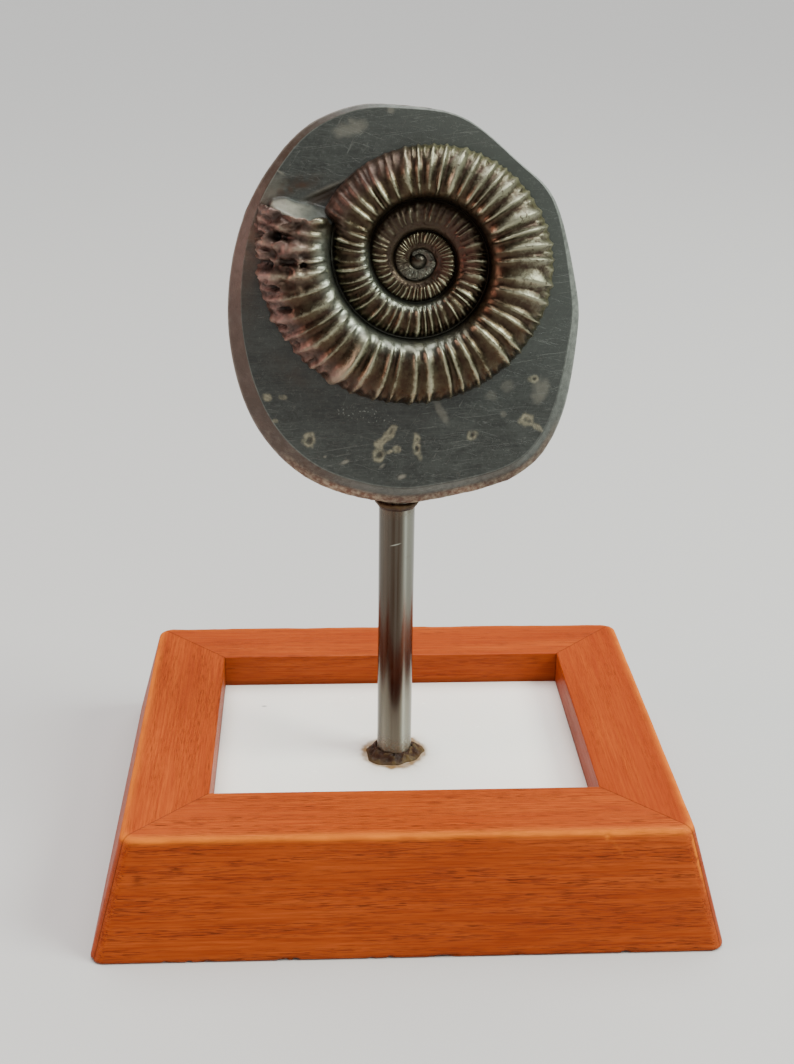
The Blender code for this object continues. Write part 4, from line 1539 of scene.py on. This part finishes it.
@dataclass
class MarblePlate:
    """The marble plate with softly rounded top edges and the rod's hole."""

    finish: MarbleFinish = MarbleFinish()
    columns: int = 256
    clearance: float = 0.1 * MM
    soft: float = 0.2 * MM
    reach: float = 0.32 * MM
    glue_edge: float = 6.9

    def build(self, library: Library) -> bpy.types.Object:
        """The plate's object: closed sections from the hole out to a rectangle, carried round.

        The sections stand at even turns and at the rectangle's own corners.

        Args:
            library: shared groups.

        Returns:
            The object, closed and dressed.
        """
        low, high = corners_of("marble_slab")
        axis, radius = rod_line()
        axis, hole = axis[:2], radius + self.clearance
        left, right = low[:2] - self.reach - axis, high[:2] + self.reach - axis
        corners = [np.arctan2(y, x) % TURN for x in (left[0], right[0]) for y in (left[1], right[1])]
        turn = np.unique(np.concatenate([np.linspace(0, TURN, self.columns, endpoint=False), corners]))
        ray = np.stack([np.cos(turn), np.sin(turn)], axis=1)
        edge = (np.where(ray > 0, right, -left) / np.maximum(np.abs(ray), 1e-9)).min(axis=1)
        bottom = low[2] - high[2]
        profile = [(s, 0.0, 0.0) for s in np.linspace(0, 1, 60)[:-1] ** 1.5]
        profile += [(1.0, -self.soft * (1 - np.sin(bend)), -self.soft * (1 - np.cos(bend)))
                    for bend in np.linspace(0, np.pi / 2, 5)]
        profile += [(1.0, 0.0, bottom), (0.0, 0.0, bottom)]
        rings = [np.column_stack([axis + ray * (hole + (edge - hole) * s + inset)[:, None],
                                  np.full(len(turn), high[2] + drop)]) for s, inset, drop in profile]
        points = np.stack(rings, axis=1)
        away = np.hypot(points[..., 0] - axis[0], points[..., 1] - axis[1]) / MM
        from_glue = away - self.glue_edge - 0.5 * layered_noise(points / MM, 2.0, 81)
        stain = np.clip(bell(from_glue, 0.0, 0.8) + 0.3 * bell(from_glue, 0.0, 2.6), 0, 1)
        quads = grid_quads(len(turn), len(rings), wrap_columns=True, wrap_rows=True)
        plate = make_mesh("marble_plate", points, quads, numbers={"stain": stain}, flip=True)
        return hand_over(plate, self.finish.build("white_marble", library), "marble_slab")


class Side(Enum):
    """The four rails: the turn of each about Z, in quarter turns from the front."""

    FRONT = 0
    RIGHT = 1
    BACK = 2
    LEFT = 3


TONES = {Side.FRONT: 0.0, Side.LEFT: 0.15, Side.BACK: 0.20, Side.RIGHT: 0.32}


@dataclass
class WoodenFrame:
    """Four mitred rails: one section with rounded arrises, carried along each side between mitres."""

    finish: WoodFinish = WoodFinish()
    rail_face: float = 17.5 * MM
    flare: float = 7.0 * MM
    arris: float = 1.0 * MM
    corner: float = 3.0 * MM
    ledge: float = 6.0 * MM
    ledge_top: float = 10.0 * MM
    mitre_gap: float = 0.05 * MM
    within: float = 0.06 * MM
    stations: int = 280

    def section(self, height: float) -> tuple[Array, Array, Array]:
        """A rail's section: straight runs between corner points, with soft bends at the foot and at the top.

        Args:
            height: the rail's height.

        Returns:
            Points (outwards, height), 1 for those that the frame's corner rounds, and their share of wear and
            painted sheen.
        """
        slope, top = self.flare / height, 1.2 * self.arris
        inner = 0.35 * self.arris

        def bend(at: tuple[float, float], before: tuple[float, float], after: tuple[float, float]) -> Array:
            """A quadratic curve past a corner, between two points given from that corner."""
            t = np.linspace(0, 1, 7)[:, None]
            return np.array(at) + (1 - t) ** 2 * np.array(before) + t ** 2 * np.array(after)

        def run(start: Array, end: Array, count: int) -> Array:
            """Points between two, without the ends."""
            return start + (end - start) * np.linspace(0, 1, count + 2)[1:-1, None]

        foot_bend = bend((self.flare, 0.0), (-self.arris, 0.0), (-slope * self.arris, self.arris))
        top_bend = bend((0.0, height), (slope * top, -top), (-top, 0.0))
        inner_bend = bend((-self.rail_face, height), (inner, 0.0), (0.0, -inner))
        back = -self.rail_face - self.ledge
        rest = np.array([(-self.rail_face, self.ledge_top), (back, self.ledge_top), (back, 0.0)])
        section = np.vstack([foot_bend, run(foot_bend[-1], top_bend[0], 44), top_bend,
                             run(top_bend[-1], inner_bend[0], 16), inner_bend,
                             run(inner_bend[-1], rest[0], 12), rest])
        outer = section[:, 0] > -1.3 * self.arris
        from_arris = np.hypot(section[:, 1] - height + 0.3 * self.arris, section[:, 0] * 0.8)
        return section, outer.astype(float), bell(from_arris, 0.0, 0.85 * self.arris)

    def rail_points(self, side: Side, section: Array, outer: Array, height: float) -> Array:
        """One rail before wear, along its own x: end stations that follow the corner, and even ones between.

        Args:
            side: which rail.
            section: its section.
            outer: 1 for the points that the corner rounds.
            height: its height.

        Returns:
            Points of shape (stations, section's points, 3).
        """
        pull = self.flare * (1 - self.arris / height) + self.within
        half_x, half_y = corners_of("right_rail")[1][0] - pull, -corners_of("front_rail")[0][1] - pull
        long_half, wide_half = (half_x, half_y) if side in (Side.FRONT, Side.BACK) else (half_y, half_x)
        quarter = np.sin(np.pi / 4)
        out, radius = section[:, 0], self.corner * outer

        def station(sign: float, angle: float) -> Array:
            """One end station: the outer points follow the corner's arc, the others stand beside them.

            Args:
                sign: -1 for the left end, 1 for the right.
                angle: how far round the corner the station is.

            Returns:
                Points of shape (section's points, 3).
            """
            along = long_half + out - radius * (1 - quarter) - self.mitre_gap
            along = along - self.corner * (quarter - np.sin(angle))
            across = wide_half + out - radius * (1 - np.cos(angle))
            return np.column_stack([sign * along, -across, section[:, 1]])

        bend = np.radians(np.linspace(45, 0, 9))
        left = [station(-1.0, angle) for angle in bend]
        right = [station(1.0, angle) for angle in bend[::-1]]
        close = np.array([0.03 * MM, 0.0, 0.0])
        left.insert(1, left[0] + close)
        right.insert(-1, right[-1] - close)
        shares = np.linspace(0, 1, self.stations)[1:-1]
        return np.stack(left + [left[-1] + (right[0] - left[-1]) * share for share in shares] + right)

    def weather(self, points: Array, side: Side, wear_and_sheen: Array) -> tuple[Array, Array, Array]:
        """Softens a rail's arrises unevenly, darkens its mitres and puts chips along its lower edge.

        Args:
            points: the rail's points along its own x.
            side: which rail, for its own noise and marks.
            wear_and_sheen: share of wear and painted sheen per section point.

        Returns:
            The points, moved inwards by the wear, and the dirt and the pale wear with its painted highlight
            per point.
        """
        noise = layered_noise(points / MM + side.value * 37.0, 6.0, 61, 4)
        fine = layered_noise(points / MM + side.value * 53.0, 1.4, 67)
        points = points.copy()
        points[..., 2] -= wear_and_sheen * 0.18 * MM * np.clip(noise + 0.4, 0, 1)
        x, z = points[..., 0] / MM, points[..., 2] / MM
        often = 0.35
        if side is Side.FRONT:
            often = bell(x, -48.5, 5.5) + bell(x, -26, 3.0) + bell(x, 9, 5.0)
        chips = ramp(0.25, 0.6, 0.35 * noise + 0.4 * fine + 0.55 * often) * ramp(1.1, 0.15, z)
        points[..., 1] += 0.45 * MM * chips
        arris = wear_and_sheen * np.clip(0.85 + 0.3 * noise, 0, 1)
        at_mitre = np.zeros((len(points), 1))
        at_mitre[[0, 1, -2, -1]] = 0.5
        dirt_and_shade = np.maximum(0.9 * chips, at_mitre * (z > 1))
        if side is Side.FRONT:
            dirt_and_shade = most(dirt_and_shade, 0.7 * bell(np.hypot(x + 56.4, z - 17.6), 0, 0.75),
                        0.35 * bell(np.hypot(x + 4.0, z - 22.0), 0, 0.9))
            face = ramp(49.6, 50.4, -points[..., 1] / MM)
            chip = bell(x, 41.3, 0.55) * bell(z, 25.0, 0.7) * face
            points[..., 1] += 0.35 * MM * chip
            along = np.clip((25.4 - z) / 4.5, 0, 1)
            scratch = bell(x - 3.3 * along, 41.3, 0.3) * (z > 20.9) * (z < 25.6) * face
            right = ramp(58.2, 58.7, x - (26 - z) * 0.269 + 0.15 * fine)
            right = 0.9 * right * ramp(-0.5, 0.3, fine) * ramp(8, 20, z)
            arris = most(arris, 1.3 * chip, 0.2 * scratch, right)
        return points, dirt_and_shade, np.clip(arris, 0, 1)

    def build_rail(self, side: Side, library: Library) -> bpy.types.Object:
        """One rail's object.

        Args:
            side: which rail.
            library: shared groups.

        Returns:
            The object, closed and dressed.
        """
        low, high = corners_of("front_rail")
        height = high[2] - low[2]
        section, outer, wear_and_sheen = self.section(height)
        points, dirt_and_shade, arris = self.weather(self.rail_points(side, section, outer, height), side, wear_and_sheen)
        over_marble = (section[:, 1] - corners_of("marble_slab")[1][2]) / MM
        on_inner_face = np.abs(section[:, 0] + self.rail_face) < 0.01 * MM
        # Painted shade along the inner face just above the marble.
        dirt_and_shade = np.maximum(dirt_and_shade, 0.65 * on_inner_face * ramp(1.8, 0.0, over_marble))
        angle = side.value * np.pi / 2
        spin = np.array([[np.cos(angle), -np.sin(angle)], [np.sin(angle), np.cos(angle)]])
        points[..., :2] = points[..., :2] @ spin.T
        stations, count = points.shape[:2]
        start = np.arange(count)
        flat, triangles = close_ends(points.reshape(-1, 3), start, start + (stations - 1) * count)
        node = side.name.lower() + "_rail"
        quads = grid_quads(stations, count, wrap_rows=True)
        numbers = {"arris": arris, "dirt_and_shade": dirt_and_shade}
        rail = make_mesh("wood_" + node, flat, quads, triangles[:, ::-1], numbers)
        turned = side in (Side.LEFT, Side.RIGHT)
        return hand_over(rail, self.finish.build("wood_" + node, library, turned, TONES[side]), node)

    def build(self, library: Library) -> list[bpy.types.Object]:
        """The four rails."""
        return [self.build_rail(side, library) for side in Side]


@dataclass
class Studio:
    """Pale floor, soft lights and the camera at the photograph's viewing angle.

    Each lamp has its name, place, size, power and colour.
    """

    floor_color: Triple = (0.50, 0.495, 0.48)
    lamps: tuple[tuple[str, Triple, float, float, Triple], ...] = (
        ("key", (0.85, -0.25, 0.85), 0.5, 18.0, (0.93, 1.0, 0.93)),
        ("fill", (-0.85, -0.16, 0.30), 0.36, 3.4, (1.0, 0.60, 0.53)),
        ("front", (0.15, -1.3, 0.55), 1.0, 3.5, (1.0, 0.98, 0.95)))
    aim: Triple = (0.0, 0.0, 0.09)
    sky_power: float = 4.8
    sky_spread: float = np.radians(60.0)
    sky_tilt: float = np.radians(-12.0)
    world_color: Triple = (0.80, 0.82, 0.84)
    world_strength: float = 0.15
    camera_at: Triple = (-18.8 * MM, -327.4 * MM, 207.1 * MM)
    pitch: float = np.radians(22.20)
    yaw: float = np.radians(3.15)
    roll: float = np.radians(0.71)
    focal_pixels: float = 1572.9
    frame_pixels: float = 1064.0
    sensor: float = 36.0

    def build_floor(self) -> None:
        """A wide flat floor."""
        side, near, far = 20.0, -2.0, 40.0
        points = np.array([(-side, near, 0.0), (side, near, 0.0), (side, far, 0.0), (-side, far, 0.0)])
        floor = make_mesh("floor", points, np.array([[0, 1, 2, 3]]))
        floor.data.materials.append(Paint("floor", self.floor_color).close(Roughness=0.6))

    @staticmethod
    def add_object(name: str, data: bpy.types.ID) -> bpy.types.Object:
        """A new object of a light or a camera, in the scene's collection."""
        made = bpy.data.objects.new(name, data)
        bpy.context.scene.collection.objects.link(made)
        return made

    def build_lights(self) -> None:
        """Square area lights that face the slab, a wide soft light from above and a dim world."""
        for name, at, size, power, color in self.lamps:
            light = bpy.data.lights.new(name, "AREA")
            light.size, light.energy, light.color = size, power, color
            lamp = self.add_object(name, light)
            lamp.location = at
            lamp.rotation_mode = "QUATERNION"
            lamp.rotation_quaternion = (Vector(self.aim) - Vector(at)).to_track_quat("-Z", "Y")
        sky = bpy.data.lights.new("sky", "SUN")
        sky.energy, sky.angle = self.sky_power, self.sky_spread
        self.add_object("sky", sky).rotation_euler = (self.sky_tilt, 0.0, 0.0)
        world = bpy.data.worlds.new("studio")
        world.use_nodes = True
        background = world.node_tree.nodes["Background"]
        background.inputs["Color"].default_value = (*self.world_color, 1.0)
        background.inputs["Strength"].default_value = self.world_strength
        bpy.context.scene.world = world

    def build_camera(self) -> None:
        """The camera: forward from yaw and pitch, then turned about its own axis by the roll."""
        forward = np.array([np.sin(self.yaw) * np.cos(self.pitch), np.cos(self.yaw) * np.cos(self.pitch),
                            -np.sin(self.pitch)])
        right = np.array([np.cos(self.yaw), -np.sin(self.yaw), 0.0])
        up = np.cross(right, forward)
        right, up = (np.cos(self.roll) * right + np.sin(self.roll) * up,
                     -np.sin(self.roll) * right + np.cos(self.roll) * up)
        lens = bpy.data.cameras.new("camera")
        lens.sensor_width = self.sensor
        lens.lens = self.focal_pixels * self.sensor / self.frame_pixels
        lens.clip_start = 0.01
        turned = np.eye(4)
        turned[:3] = np.column_stack([right, up, -forward, self.camera_at])
        camera = self.add_object("camera", lens)
        camera.matrix_world = Matrix(turned.tolist())
        bpy.context.scene.camera = camera

    def build(self) -> None:
        """The whole stage."""
        self.build_floor()
        self.build_lights()
        self.build_camera()


def main() -> None:
    """Loads the frame, builds every piece and reports it."""
    logging.basicConfig(level=logging.INFO, format="%(message)s")
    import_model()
    library = Library()
    place = SlabPlace()
    foot_knots = ((4.1, 18.05), (5.2, 18.02), (6.3, 18.02), (6.5, 18.1), (6.0, 18.5), (5.3, 19.0),
                  (4.7, 19.6), (4.1, 19.9))
    top_knots = ((4.05, 82.4), (4.9, 82.3), (4.85, 81.7), (4.3, 81.0), (4.05, 80.8))
    pieces = [
        MatrixSlab().build(place, library),
        AmmoniteShell().build(place, library),
        SteelRod().build(library),
        GlueRing("foot_glue", "glue_collar", "foot_glue", foot_knots, 0.8 * MM, 0.5 * MM).build(library),
        GlueRing("rust_glue", "top_glue", "top_glue", top_knots, 0.15 * MM, 0.2 * MM).build(library),
        MarblePlate().build(library),
        *WoodenFrame().build(library),
    ]
    Studio().build()
    for piece in pieces:
        LOG.info("%s: %d faces", piece.name, len(piece.data.polygons))
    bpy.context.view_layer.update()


if __name__ == "__main__":
    main()
